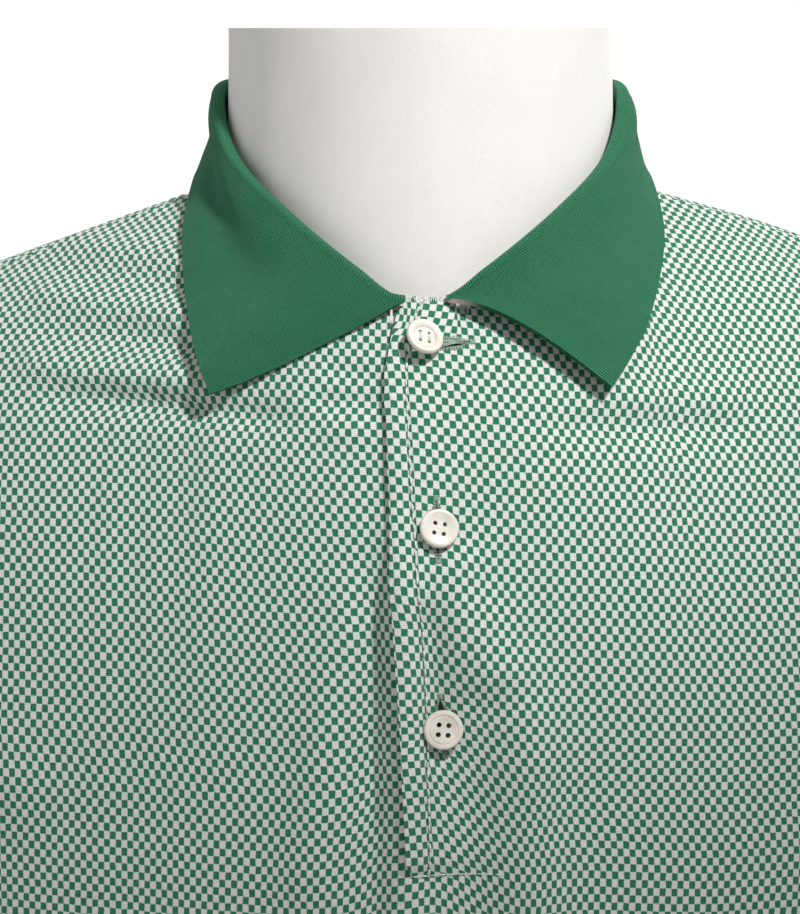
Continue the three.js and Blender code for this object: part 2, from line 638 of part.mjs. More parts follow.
function buttonGeometry() {
  const { radius, thick, rim, well } = button;
  const profile = [
    [0, 0], [radius - 0.9, 0], [radius - 0.15, thick * 0.35], [radius, thick * 0.6],
    [radius - 0.35, thick * 0.93], [radius - 0.8, thick], [radius - rim, thick * 0.95],
    [radius - rim - 0.6, thick - well], [0, thick - well],
  ];
  const disc = new THREE.LatheGeometry(profile.map(([x, y]) => new THREE.Vector2(x, y)), buttonSides);
  disc.rotateX(Math.PI / 2);
  let body = toManifold(disc);
  for (const [x, y] of [[1, 1], [-1, 1], [-1, -1], [1, -1]]) {
    const hole = new THREE.CylinderGeometry(button.holeRadius, button.holeRadius, thick * 3, 8);
    hole.rotateX(Math.PI / 2);
    hole.translate(x * button.holeSpread, y * button.holeSpread, 0);
    body = body.subtract(toManifold(hole));
  }
  const cut = body.getMesh();
  return solid(Array.from(cut.vertProperties), Array.from(cut.triVerts));
}

function buildButtons() {
  buttons.forEach(({ up, side, nod, yaw }, i) => {
    const u = 0.5 + side / (2 * placket.halfWidth);
    const normal = normalOf(upperPlacket, u, up);
    const geometry = buttonGeometry();
    geometry.rotateX(radians(-nod));
    geometry.rotateY(radians(yaw));
    geometry.applyQuaternion(new THREE.Quaternion().setFromUnitVectors(point(0, 0, 1), normal));
    const tipped = button.radius * Math.sin(radians(Math.hypot(nod, yaw)));
    const seat = upperPlacket(u, up).addScaledVector(normal, placketCloth / 2 + button.seat + tipped);
    geometry.translate(seat.x, seat.y, seat.z);
    addPiece(`button_${i + 1}`, geometry, 'button');
  });
}

buildFront();
buildBack();
buildPlackets();
buildSleeves();
buildCollar();
buildForm();
buildButtons();

export default polo;
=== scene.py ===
# Polo shirt on a limbless dress form.
# The shapes are worked out in millimetres and turned into metres when a mesh is made.
# Left and right are the wearer's: the left sleeve hangs at +X. The front faces -Y.
import math
import bmesh
import bpy
import numpy as np
from mathutils import Matrix, Vector


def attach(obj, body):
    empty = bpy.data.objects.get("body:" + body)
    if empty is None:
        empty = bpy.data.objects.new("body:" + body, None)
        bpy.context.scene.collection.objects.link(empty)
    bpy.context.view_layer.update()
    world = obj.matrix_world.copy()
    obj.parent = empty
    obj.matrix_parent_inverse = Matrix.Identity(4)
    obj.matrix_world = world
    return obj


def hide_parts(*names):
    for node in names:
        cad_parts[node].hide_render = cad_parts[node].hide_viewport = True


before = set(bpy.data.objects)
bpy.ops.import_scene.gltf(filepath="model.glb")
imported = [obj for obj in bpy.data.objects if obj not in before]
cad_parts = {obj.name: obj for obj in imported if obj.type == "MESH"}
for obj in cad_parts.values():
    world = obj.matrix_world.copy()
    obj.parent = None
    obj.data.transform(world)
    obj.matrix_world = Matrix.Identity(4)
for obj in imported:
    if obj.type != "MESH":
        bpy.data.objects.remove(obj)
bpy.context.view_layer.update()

scene = bpy.context.scene
print("frame loaded")

# sizes shared with the frame
shirt = {
    "cloth": 1.3, "collarCloth": 1.8, "placketCloth": 2.0, "seamGap": 0.3,
    "hemZ": 28, "armpitZ": 508, "sideSeamY": 4,
    "frontPower": 1.8, "backPower": 2.1, "driftReach": 120,
}
neckline = {
    "halfWidth": 65, "centreY": -3, "front": 69, "back": 61, "frontZ": 715.6, "sideZ": 745.5, "backZ": 756,
}
shoulderTip = {"x": 225, "y": -2, "z": 686}
placket = {"halfWidth": 12.7, "underLap": 1.5, "bottomAt": 0.2, "topAt": 1.004, "stitchInset": 5.5}
sleeve = {"length": 228, "tilt": 33, "cuffHalfWidth": 70, "cuffHalfDepth": 38, "armpitClear": 4.8}
form = {
    "topZ": 795, "neckHalfWidth": 59.1, "neckFront": 62, "neckBack": 56, "shoulderGap": 0.8, "bodyGap": 26,
    "sideGap": 8, "frontLap": 5.6, "domeSwell": 12, "coverRound": 95,
}
shoulderLift = {"x": 115, "reach": 38, "rise": 3.5}
# The way each panel faces along Y
facing = {"front": -1, "back": 1}


def table(names, *rows):
    columns = np.array(rows, float).T
    return {name: columns[i] for i, name in enumerate(names.split())}


bodyRings = table(
    "z halfWidth front back",
    (0, 199, 105, 112), (28, 199, 104, 112), (160, 194, 99, 107),
    (300, 190, 95, 102), (430, 196, 97, 106), (508, 205, 106.5, 114),
)
columnNames = "at footX footSide footOut footUp headSide headOut headDown"
columns = {
    "front": table(
        columnNames,
        (-0.25, -50, 0, 13, 76, -2, 48, 40), (0, 0, 0, 12, 72, 0, 36, 49), (0.25, 50, 0, 13, 76, 2, 48, 40),
        (0.5, 92, 0, 12, 88, 8, 84, 45), (0.75, 150, 2, 20, 78, -2, 62, 30),
        (1, 205, -12, 64, 22, -24, 60, 26),
    ),
    "back": table(
        columnNames,
        (-0.25, -50, 0, 11, 82, -2, 50, 30), (0, 0, 0, 10, 80, 0, 42, 50), (0.25, 50, 0, 11, 82, 2, 50, 30),
        (0.5, 95, 0, 14, 100, 16, 46, 0), (0.75, 152, 2, 20, 90, -2, 42, -16),
        (1, 205, -16, 66, 24, -22, 44, -6),
    ),
}
drift = table("z x", (0, 0), (300, 6), (508, 9.4), (716, 1.9), (756, 0))

# Folds: soft ridges from one point to another, seen from the front: x and z, x and z, half width, height
folds = {
    "front": [
        (12, 640, 30, 590, 14, 1.8), (30, 600, 40, 400, 15, 3), (-16, 620, -48, 400, 18, 2.2),
        (-168, 500, -112, 300, 22, 5), (170, 495, 120, 320, 22, 4), (-120, 260, -132, 0, 30, 6),
        (52, 330, 66, 0, 28, 5), (-38, 210, -30, 0, 24, 3.5), (150, 240, 156, 0, 26, 5),
    ],
    "back": [
        (-150, 560, -96, 380, 24, 5), (152, 566, 104, 390, 22, 5), (-64, 430, -72, 0, 28, 7),
        (30, 400, 22, 0, 30, 5), (112, 330, 124, 0, 26, 6), (-146, 250, -150, 0, 24, 5),
    ],
}
# Finer creases laid over those, with how far their middle bows sideways as the last number
creases = {
    "front": [
        # the placket's free edge rides on a ridge that grows downwards
        (-6.5, 696, -5, 560, 6.5, 0.9, 0), (-6.5, 664, -4, 500, 6.5, 4.0, 0),
        (-13.5, 700, -13, 560, 3.2, -0.9, 0), (-13.8, 656, -12.5, 500, 4.5, -2.6, 0),
        # an arch that hangs from the second button, with a hollow inside it
        (7, 652, 25, 604, 10, 2.6, 4), (27, 626, 34, 490, 9, 3.2, 0), (1, 636, 4, 584, 6, -2.6, 0),
        (12, 600, 15, 490, 7, -1.2, 0),
        # a softer ridge on the other side
        (-19, 645, -36, 530, 7, 2.2, 0), (-27, 640, -14, 560, 5, -0.8, 0),
        # the cloth slumps over the wearer's right shoulder
        (-124, 732, -58, 724, 4, 3.2, 0), (-124, 722, -58, 717, 3.6, -0.8, 0),
        (-124, 715, -58, 709, 4, 3.0, 0), (-124, 704, -60, 701, 3.6, -1.5, 0),
        (-124, 695, -54, 692, 4.6, 3.2, 0), (-124, 686, -30, 682, 4.2, -2.8, 0),
        (-30, 697, -9, 694, 3, -1.0, 0), (-34, 687, -8, 688, 3.5, -1.4, 0), (-30, 680, -12, 680, 4, 0.9, 0),
        # and a little over the left one
        (44, 691, 100, 685, 5, 1.4, 0), (30, 681, 104, 676, 5, -1.9, 0),
        (96, 716, 150, 690, 8, 1.4, 3), (-150, 640, -112, 560, 12, 1.6, 4), (140, 650, 108, 570, 11, 1.4, -3),
        (-176, 420, -60, 372, 12, 1.6, 8), (-170, 370, -40, 330, 11, 1.3, 6), (170, 400, 70, 350, 12, 1.5, -7),
        (160, 350, 30, 318, 11, 1.2, -6), (-120, 180, -150, 60, 14, 2.0, 3), (96, 200, 120, 60, 14, 1.8, -3),
    ],
    "back": [
        (-160, 655, -70, 610, 10, 1.8, 6), (-168, 625, -88, 570, 10, 1.6, 6),
        (158, 660, 60, 622, 10, 1.8, -6), (166, 630, 84, 580, 11, 1.5, -5),
        (-60, 720, 40, 716, 7, 1.0, -5), (-70, 702, 62, 700, 8, 0.9, -5),
        (-170, 440, -30, 380, 12, 2.0, 9), (-160, 395, -20, 340, 11, 1.7, 8), (168, 430, 40, 372, 12, 1.9, -8),
        (150, 380, 10, 330, 11, 1.5, -7), (-120, 330, 90, 300, 12, 1.4, 6), (-90, 190, -110, 50, 14, 2.2, 3),
        (60, 180, 76, 50, 14, 2.0, -3), (150, 200, 160, 60, 13, 1.6, 2),
    ],
}


def smoothstep(value, low, high):
    t = np.clip((value - low) / (high - low), 0, 1)
    return t * t * (3 - 2 * t)


# A smooth curve through one column of a table
def sample(rows, key, column, value):
    keys = rows[key]
    values = rows[column]
    last = len(keys) - 1
    at = np.clip(value, keys[0], keys[-1])
    i = np.clip(np.searchsorted(keys, at, side="left") - 1, 0, last - 1)
    low = np.maximum(np.arange(last + 1) - 1, 0)
    high = np.minimum(np.arange(last + 1) + 1, last)
    tangents = (values[high] - values[low]) / (keys[high] - keys[low])
    span = keys[i + 1] - keys[i]
    t = (at - keys[i]) / span
    rise = values[i + 1] - values[i]
    start = tangents[i] * span
    bend = start + tangents[i + 1] * span - 2 * rise
    return values[i] + t * (start + t * (rise - start - bend + t * bend))


def pointsOf(x, y, z):
    return np.stack(np.broadcast_arrays(np.asarray(x, float), y, z), axis=-1)


def bezier(a, b, c, d, t):
    t = np.asarray(t)[..., None]
    return a * (1 - t) ** 3 + 3 * b * t * (1 - t) ** 2 + 3 * c * t * t * (1 - t) + d * t ** 3


def unit(vectors):
    return vectors / np.maximum(np.linalg.norm(vectors, axis=-1, keepdims=True), 1e-9)


# Neckline and shoulder seam of a panel
def headPoint(panel, at):
    turn = np.minimum(at, 0.5) * np.pi
    depth = facing[panel] * neckline[panel]
    centreZ = neckline[panel + "Z"]
    neck = pointsOf(
        neckline["halfWidth"] * np.sin(turn),
        neckline["centreY"] + depth * np.cos(turn),
        neckline["sideZ"] + (centreZ - neckline["sideZ"]) * np.cos(turn),
    )
    tip = pointsOf(shoulderTip["x"], shoulderTip["y"], shoulderTip["z"])
    share = np.maximum(at - 0.5, 0)[..., None] / 0.5
    return neck + (tip - neck) * share


def ringPoint(panel, z, turn):
    power = 2 / shirt[panel + "Power"]
    x = sample(bodyRings, "z", "halfWidth", z) * np.sin(turn) ** power
    depth = facing[panel] * sample(bodyRings, "z", panel, z)
    return pointsOf(x, shirt["sideSeamY"] + depth * np.maximum(np.cos(turn), 0) ** power, z)


# A panel without folds: across from -1 to 1, up from -1 at the hem past 0 at the armpits to 1 at the seam.
def smoothPoint(panel, across, up):
    across, up = np.broadcast_arrays(np.asarray(across, float), np.asarray(up, float))
    at = np.minimum(np.abs(across), 1)
    rows = columns[panel]
    read = {name: sample(rows, "at", name, at) for name in columnNames.split()[1:]}
    halfWidth = sample(bodyRings, "z", "halfWidth", shirt["armpitZ"])
    footX = np.clip(read["footX"] / halfWidth, 0, 1)
    turn = np.arcsin(footX ** (shirt[panel + "Power"] / 2))
    lowZ = shirt["armpitZ"] + np.minimum(up, 0) * (shirt["armpitZ"] - shirt["hemZ"])
    foot = ringPoint(panel, lowZ, turn)
    head = headPoint(panel, at)
    lower = foot + pointsOf(read["footSide"], facing[panel] * read["footOut"], read["footUp"])
    upper = head + pointsOf(read["headSide"], facing[panel] * read["headOut"], -read["headDown"])
    place = np.where(up[..., None] > 0, bezier(foot, lower, upper, head, np.maximum(up, 0)), foot)
    place[..., 0] = np.where(across < 0, -place[..., 0], place[..., 0])
    if panel == "front":
        nearMiddle = np.exp(-((place[..., 0] / shirt["driftReach"]) ** 2))
        place[..., 0] = place[..., 0] + nearMiddle * sample(drift, "z", "x", place[..., 2])
    return place


# One fold: it swells from its first end, and with both set dies away again at the other.
def ridge(place, fromX, fromZ, toX, toZ, width, height, bow=0.0, both=False):
    runX, runZ = toX - fromX, toZ - fromZ
    length = math.hypot(runX, runZ)
    along = ((place[..., 0] - fromX) * runX + (place[..., 2] - fromZ) * runZ) / length ** 2
    held = np.clip(along, 0, 1)
    bent = bow * 4 * held * (1 - held)
    dx = place[..., 0] - fromX - held * runX - bent * runZ / length
    dz = place[..., 2] - fromZ - held * runZ + bent * runX / length
    swell = smoothstep(held, 0, 0.22 if both else 0.35)
    if both:
        swell = swell * smoothstep(1 - held, 0, 0.22)
    return height * swell * np.exp(-(dx * dx + dz * dz) / width ** 2)


# smoothPoint with the sharp line below the side of the neck let out
def calmPoint(panel, across, up):
    across, up = np.broadcast_arrays(np.asarray(across, float), np.asarray(up, float))
    near = np.exp(-(((np.abs(across) - 0.5) / 0.15) ** 2))
    step = 0.075 * near * (1 - smoothstep(up, 0.72, 0.97)) * smoothstep(up, -1, 0.1)
    shares = ((-2, 0.1), (-1, 0.24), (0, 0.32), (1, 0.24), (2, 0.1))
    return sum(share * smoothPoint(panel, across + k * step, up) for k, share in shares)


def panelPoint(panel, across, up):
    across, up = np.broadcast_arrays(np.asarray(across, float), np.asarray(up, float))
    place = calmPoint(panel, across, up)
    turn = np.arctan2(place[..., 0], np.abs(place[..., 1] - shirt["sideSeamY"]))
    height = sum(ridge(place, *row) for row in folds[panel])
    height = height * (1 - np.minimum(np.abs(across), 1) ** 8)
    fine = sum(ridge(place, *row, both=True) for row in creases[panel])
    height = height + fine * (1 - np.minimum(np.abs(across), 1) ** 12)
    place[..., 0] += height * np.sin(turn)
    place[..., 1] += facing[panel] * height * np.cos(turn)
    nearShoulder = np.exp(-(((place[..., 0] - shoulderLift["x"]) / shoulderLift["reach"]) ** 2))
    place[..., 2] += shoulderLift["rise"] * nearShoulder * smoothstep(up, 0.5, 1)
    return place


def panelNormal(panel, across, up, points=panelPoint):
    step = 0.002
    side = -facing[panel] * step
    alongU = points(panel, across + side, up) - points(panel, across - side, up)
    alongV = points(panel, across, up + step) - points(panel, across, up - step)
    return unit(np.cross(alongU, alongV))


# meshes
def newObject(name, verts, faces, material, uvs=None):
    mesh = bpy.data.meshes.new(name)
    mesh.from_pydata((np.asarray(verts) / 1000).tolist(), [], faces)
    if uvs is not None:
        layer = mesh.uv_layers.new(name="cloth")
        layer.data.foreach_set("uv", np.asarray(uvs, np.float32).ravel())
    mesh.validate()
    mesh.polygons.foreach_set("use_smooth", [True] * len(mesh.polygons))
    obj = bpy.data.objects.new(name, mesh)
    scene.collection.objects.link(obj)
    if material:
        mesh.materials.append(material)
    return obj


# The four corners of one cell in rows of count points
def cell(start, count, r, c):
    low, n = start + r * count, (c + 1) % count
    return (low + c, low + n, low + count + n, low + count + c)


# A sheet of cloth through rows of points. Where the rows close, uv has one more column than the points.
def gridObject(name, points, uv, loop=False, present=None, material=None):
    rows, count = points.shape[:2]
    wide = count if loop else count - 1
    faces, uvs = [], []
    for r in range(rows - 1):
        for c in range(wide):
            if present is not None and not present(r, c):
                continue
            faces.append(cell(0, count, r, c))
            uvs.extend((uv[r, c], uv[r, c + 1], uv[r + 1, c + 1], uv[r + 1, c]))
    obj = newObject(name, points.reshape(-1, 3), faces, material, uvs)
    loose = bmesh.new()
    loose.from_mesh(obj.data)
    bmesh.ops.delete(loose, geom=[v for v in loose.verts if not v.link_faces], context="VERTS")
    loose.to_mesh(obj.data)
    loose.free()
    return obj


def faceOut(obj):
    bm = bmesh.new()
    bm.from_mesh(obj.data)
    bmesh.ops.recalc_face_normals(bm, faces=bm.faces)
    bm.to_mesh(obj.data)
    bm.free()


def selectOnly(obj):
    for other in bpy.context.selected_objects:
        other.select_set(False)
    obj.select_set(True)
    bpy.context.view_layer.objects.active = obj


def applyAll(obj):
    selectOnly(obj)
    for modifier in list(obj.modifiers):
        bpy.ops.object.modifier_apply(modifier=modifier.name)


def shadeByAngle(obj, degrees):
    selectOnly(obj)
    bpy.ops.object.shade_smooth_by_angle(angle=math.radians(degrees))


def thicken(obj, thick):
    wall = obj.modifiers.new("wall", "SOLIDIFY")
    wall.thickness = thick / 1000
    wall.offset = 0
    wall.use_even_offset = False
    wall.use_quality_normals = True
    wall.material_offset = 1 if len(obj.data.materials) > 1 else 0
    wall.material_offset_rim = max(len(obj.data.materials) - 1, 0)
    applyAll(obj)
    shadeByAngle(obj, 50)


# The length so far along each column (axis 0) or row (axis 1) of points
def arcs(points, axis=0):
    steps = np.cumsum(np.linalg.norm(np.diff(points, axis=axis), axis=-1), axis=axis)
    return np.concatenate([np.zeros_like(np.take(steps, [0], axis)), steps], axis)


def gridLength(points):
    return sum(np.linalg.norm(np.diff(points, axis=axis), axis=-1).sum() for axis in (0, 1))


# Lays a panel flat: Blender unwraps a coarse copy with the least stretch, and the result is scaled
# back to millimetres and turned upright, so the check keeps its size all over the panel.
def flatten(name, points, every=4):
    rowsAt, colsAt = (np.unique(np.append(np.arange(0, n, every), n - 1)) for n in points.shape[:2])
    coarse = points[rowsAt][:, colsAt]
    rows, cols = coarse.shape[:2]
    obj = gridObject(name + "Flat", coarse, np.zeros((rows, cols, 2)))
    selectOnly(obj)
    bpy.ops.object.mode_set(mode="EDIT")
    bpy.ops.mesh.select_all(action="SELECT")
    bpy.ops.uv.unwrap(method="MINIMUM_STRETCH", margin=0, correct_aspect=False, iterations=60)
    bpy.ops.object.mode_set(mode="OBJECT")
    mesh = obj.data
    flat = np.zeros((len(mesh.vertices), 2))
    loops = np.zeros(len(mesh.loops) * 2, np.float32)
    mesh.uv_layers["cloth"].data.foreach_get("uv", loops)
    corners = np.zeros(len(mesh.loops), np.int32)
    mesh.loops.foreach_get("vertex_index", corners)
    flat[corners] = loops.reshape(-1, 2)
    flat = flat.reshape(rows, cols, 2)
    bpy.data.objects.remove(obj)
    flat = flat * (gridLength(coarse) / gridLength(flat))
    middle = cols // 2
    spine = flat[rows // 2 - 3, middle] - flat[0, middle]
    turn = math.atan2(spine[0], spine[1])
    spin = np.array([[math.cos(turn), -math.sin(turn)], [math.sin(turn), math.cos(turn)]])
    flat = flat @ spin.T
    if flat[rows // 4, -1, 0] < flat[rows // 4, 0, 0]:
        flat[..., 0] = -flat[..., 0]
    flat = flat - flat[0, middle]
    # back to the fine grid, shared out by the length along each row and column
    fine = np.zeros((rows, points.shape[1], 2))
    for r, row in enumerate(rowsAt):
        arc = arcs(points[row])
        for k in range(2):
            fine[r, :, k] = np.interp(arc, arc[colsAt], flat[r, :, k])
    full = np.zeros((points.shape[0], points.shape[1], 2))
    for c in range(points.shape[1]):
        arc = arcs(points[:, c])
        for k in range(2):
            full[:, c, k] = np.interp(arc, arc[rowsAt], fine[:, c, k])
    return full


# How the front is pulled on the body: the mm that the check has slipped sideways and upwards. Each
# row of numbers runs across the knots x; the rows go up through the knots z. The left table is for
# the side under the free edge of the placket, the right one for the placket and the other side.
pulls = {
    "left": {
        "x": (-84, -62, -42, -26, -12),
        "sideways": (
            (-11.1, -10.0, -9.6, -8.7, -7.3), (-11.1, -10.1, -9.7, -9.1, -8.0), (-10.7, -9.8, -8.9, -8.5, -7.9),
            (-8.9, -8.2, -7.1, -6.5, -6.3), (-5.5, -4.8, -4.2, -3.9, -3.9), (-1.5, -1.2, -1.0, -1.2, -1.6),
            (2.6, 2.3, 1.9, 1.5, 0.9),
        ),
        "upwards": (
            (-5.4, -5.0, -5.4, -6.2, -7.2), (-6.0, -5.2, -5.0, -5.0, -5.5), (-6.3, -5.0, -4.1, -3.7, -3.9),
            (-5.9, -4.3, -3.1, -2.5, -2.4), (-5.1, -3.4, -2.2, -1.4, -1.1), (-4.1, -2.8, -1.6, -0.7, 0.1),
            (-3.1, -2.1, -1.0, 0.1, 1.2),
        ),
    },
    "right": {
        "x": (-8, 6, 20, 38, 60, 84),
        "sideways": (
            (-7.3, -6.8, -6.1, -4.6, -4.0, -3.6), (-5.4, -4.3, -3.2, -2.0, -2.0, -1.6),
            (-3.6, -2.2, -1.4, -0.5, -0.1, 0.7), (-1.4, -0.1, 0.1, 0.5, 1.4, 2.3),
            (1.0, 1.7, 1.7, 1.8, 2.0, 2.3), (4.1, 4.0, 3.6, 2.7, 2.1, 1.8), (7.3, 6.2, 5.1, 3.8, 2.5, 1.2),
        ),
        "upwards": (
            (-7.2, -5.5, -3.9, -2.6, -0.9, 0.7), (-5.1, -3.8, -2.4, -1.4, 0.2, 1.4),
            (-3.0, -2.0, -0.7, 0.0, 1.0, 1.9), (-1.5, -0.7, 0.4, 1.0, 1.5, 2.4),
            (-0.4, 0.3, 1.0, 1.7, 1.9, 2.5), (0.6, 1.1, 1.7, 2.0, 2.2, 2.5), (1.7, 2.0, 2.2, 2.4, 2.5, 2.5),
        ),
    },
}
pullHeights = (555, 580, 610, 645, 680, 715, 745)
pullFade = {"low": 430, "high": 545}


def pullAt(side, kind, place):
    rows = np.array(pulls[side][kind], float)
    heights = {"z": np.array(pullHeights, float)}
    knots = {"x": np.array(pulls[side]["x"], float)}
    x = place[..., 0].ravel()
    z = place[..., 2].ravel()
    # first up each column of knots, then across the row that this gives at each place
    across = np.zeros((rows.shape[1], x.size))
    for k in range(rows.shape[1]):
        heights["value"] = rows[:, k]
        across[k] = sample(heights, "z", "value", z)
    result = np.zeros_like(x)
    for k in range(rows.shape[1]):
        knots["value"] = np.eye(rows.shape[1])[k]
        result += sample(knots, "x", "value", x) * across[k]
    return result.reshape(place.shape[:-1]) * smoothstep(place[..., 2], pullFade["low"], pullFade["high"])


# Where the stitched foot of the placket holds the cloth up, and where a fold beside it takes cloth in
tent = {"x": 1.0, "reach": 16.0, "rise": 5.5, "from": 612, "to": 572}
tuck = {"x": 33.0, "reach": 6.0, "sideways": 1.3, "upwards": -1.1, "from": 596, "to": 572}


def pulled(flat, place, rightShare):
    moved = flat.copy()
    x, z = place[..., 0], place[..., 2]
    low = smoothstep(z, pullFade["low"], pullFade["high"])
    held = np.exp(-(((x - tent["x"]) / tent["reach"]) ** 2)) * smoothstep(-z, -tent["from"], -tent["to"])
    moved[..., 1] -= tent["rise"] * held * low
    taken = np.tanh((x - tuck["x"]) / tuck["reach"]) * smoothstep(-z, -tuck["from"], -tuck["to"]) * low
    moved[..., 0] += tuck["sideways"] * taken
    moved[..., 1] += tuck["upwards"] * taken
    for k, kind in enumerate(("sideways", "upwards")):
        left = pullAt("left", kind, place)
        right = pullAt("right", kind, place)
        moved[..., k] += left + (right - left) * rightShare
    return moved


# materials
surfaceInputs = {
    "specular": "Specular IOR Level", "sheen": "Sheen Weight", "sheenRoughness": "Sheen Roughness",
    "sheenTint": "Sheen Tint", "coat": "Coat Weight", "coatRoughness": "Coat Roughness",
    "subsurface": "Subsurface Weight", "subsurfaceScale": "Subsurface Scale",
}


class Nodes:
    def __init__(self, name):
        self.material = bpy.data.materials.new(name)
        self.material.use_nodes = True
        self.tree = self.material.node_tree
        self.shader = self.tree.nodes["Principled BSDF"]

    def add(self, kind, **settings):
        node = self.tree.nodes.new("ShaderNode" + kind)
        for key, value in settings.items():
            setattr(node, key, value)
        return node

    def feed(self, node, slot, value):
        if isinstance(value, bpy.types.NodeSocket):
            self.tree.links.new(value, node.inputs[slot])
        elif value is not None:
            node.inputs[slot].default_value = value

    def feedAll(self, node, slots, values, result=0):
        for slot, value in zip(slots, values):
            self.feed(node, slot, value)
        return node.outputs[result]

    def maths(self, operation, a, b=None, c=None, clamp=False):
        node = self.add("Math", operation=operation, use_clamp=clamp)
        return self.feedAll(node, range(3), (a, b, c))

    # value from low to high, turned into a soft step from 0 to 1
    def ramp(self, value, low, high):
        node = self.add("MapRange", interpolation_type="SMOOTHSTEP")
        return self.feedAll(node, range(3), (value, low, high))

    def mix(self, factor, a, b, blend="MIX"):
        node = self.add("Mix", data_type="RGBA", blend_type=blend)
        return self.feedAll(node, (0, 6, 7), (factor, a, b), 2)

    def noise(self, vector, scale, detail=2.0, roughness=0.5):
        slots = ("Vector", "Scale", "Detail", "Roughness")
        return self.feedAll(self.add("TexNoise"), slots, (vector, scale, detail, roughness))

    # u and v in mm, and their vector
    def cloth(self):
        u, v = self.split(self.add("UVMap", uv_map="cloth").outputs[0])
        return u, v, self.join(u, v)

    def place(self):
        return self.add("TexCoord").outputs["Object"]

    def split(self, vector):
        node = self.add("SeparateXYZ")
        self.feed(node, 0, vector)
        return node.outputs[0], node.outputs[1]

    def join(self, *parts):
        return self.feedAll(self.add("CombineXYZ"), range(3), parts)

    # the base with its brightness scaled
    def shaded(self, base, tone):
        return self.mix(1.0, base, self.join(tone, tone, tone), "MULTIPLY")

    def bump(self, height, distance, strength):
        slots = ("Strength", "Distance", "Height")
        relief = self.feedAll(self.add("Bump"), slots, (strength, distance, height))
        self.feed(self.shader, "Normal", relief)

    def wave(self, value, period):
        return self.maths("SINE", self.maths("MULTIPLY_ADD", value, 2 * math.pi / period, 0.0))

    def surface(self, base, roughness, **others):
        self.feed(self.shader, "Base Color", base)
        self.feed(self.shader, "Roughness", roughness)
        for name, value in others.items():
            self.feed(self.shader, surfaceInputs[name], value)
        return self.material


def colour(red, green, blue):
    def linear(value):
        value = value / 255
        return value / 12.92 if value <= 0.04045 else ((value + 0.055) / 1.055) ** 2.4
    return (linear(red), linear(green), linear(blue), 1.0)


def dimmed(tint, share):
    return colour(*(part * share for part in tint))


# Sizes in mm; wale and course are the width and height of one knit stitch.
check = {
    "cellWidth": 1.80, "cellHeight": 2.30, "bias": 0.02, "edge": 0.12, "wale": 0.45, "course": 0.58,
    "white": (240, 231, 228), "mint": (214, 234, 223), "greenDeep": (42, 106, 78), "green": (52, 136, 100),
}


def checkKnit():
    n = Nodes("checkKnit")
    u, v, uv = n.cloth()
    # the yarns wander a little
    wander = n.noise(uv, 0.35, 2)
    wanderV = n.noise(n.join(v, u), 0.3, 2)
    u2 = n.maths("ADD", u, n.maths("MULTIPLY_ADD", wander, 0.5, -0.25))
    v2 = n.maths("ADD", v, n.maths("MULTIPLY_ADD", wanderV, 0.6, -0.3))
    ragged = n.noise(uv, 2.1, 2)
    cellU = n.maths("DIVIDE", u2, check["cellWidth"])
    cellV = n.maths("DIVIDE", v2, check["cellHeight"])
    turnU = n.maths("SINE", n.maths("MULTIPLY", cellU, math.pi))
    turnV = n.maths("SINE", n.maths("MULTIPLY", cellV, math.pi))
    isLight = n.maths("SIGN", n.maths("MULTIPLY", turnU, turnV))
    # mm into the cell from its nearest edge, positive in the white cells and negative in the green ones
    awayU = n.maths("MULTIPLY", n.maths("PINGPONG", cellU, 0.5), check["cellWidth"])
    awayV = n.maths("MULTIPLY", n.maths("PINGPONG", cellV, 0.5), check["cellHeight"])
    away = n.maths("SMOOTH_MIN", awayU, awayV, 0.3)
    frayed = n.maths("MULTIPLY_ADD", ragged, 0.2, check["bias"] - 0.1)
    level = n.maths("MULTIPLY_ADD", isLight, away, frayed)
    isWhite = n.ramp(level, -check["edge"], check["edge"])
    # white cells are pinkish in the middle and mint where they meet the green
    core = n.ramp(level, 0.12, 0.45)
    white = n.mix(core, colour(*check["mint"]), colour(*check["white"]))
    # knit stitches: upright wales crossed by courses
    wale = n.wave(u2, check["wale"])
    sag = n.maths("MULTIPLY", n.maths("ABSOLUTE", wale), 0.16)
    course = n.wave(n.maths("ADD", v2, sag), check["course"])
    stitch = n.maths("MULTIPLY_ADD", wale, 0.5, n.maths("MULTIPLY", course, 0.4))
    speck = n.maths("MULTIPLY_ADD", n.noise(uv, 1.6, 3, 0.65), 2.2, -0.6)
    # green goes deeper and the whole cloth darker where the stitch runs low: painted shade in the knit's
    # hollows; speck and the noise below are random tone
    greenShare = n.maths("MULTIPLY_ADD", stitch, 0.45, speck, clamp=True)
    green = n.mix(greenShare, colour(*check["greenDeep"]), colour(*check["green"]))
    base = n.mix(isWhite, green, white)
    dark = n.maths("MULTIPLY_ADD", stitch, 0.05, 0.95)
    stitchShadeAndMottle = n.maths("MULTIPLY", dark, n.maths("MULTIPLY_ADD", n.noise(uv, 3.5, 2), 0.12, 0.94))
    n.bump(n.maths("MULTIPLY_ADD", stitch, 0.5, n.maths("MULTIPLY", isWhite, 0.8)), 0.0002, 0.8)
    return n.surface(n.shaded(base, stitchShadeAndMottle), 0.88, specular=0.25, sheen=0.12, sheenRoughness=0.5)


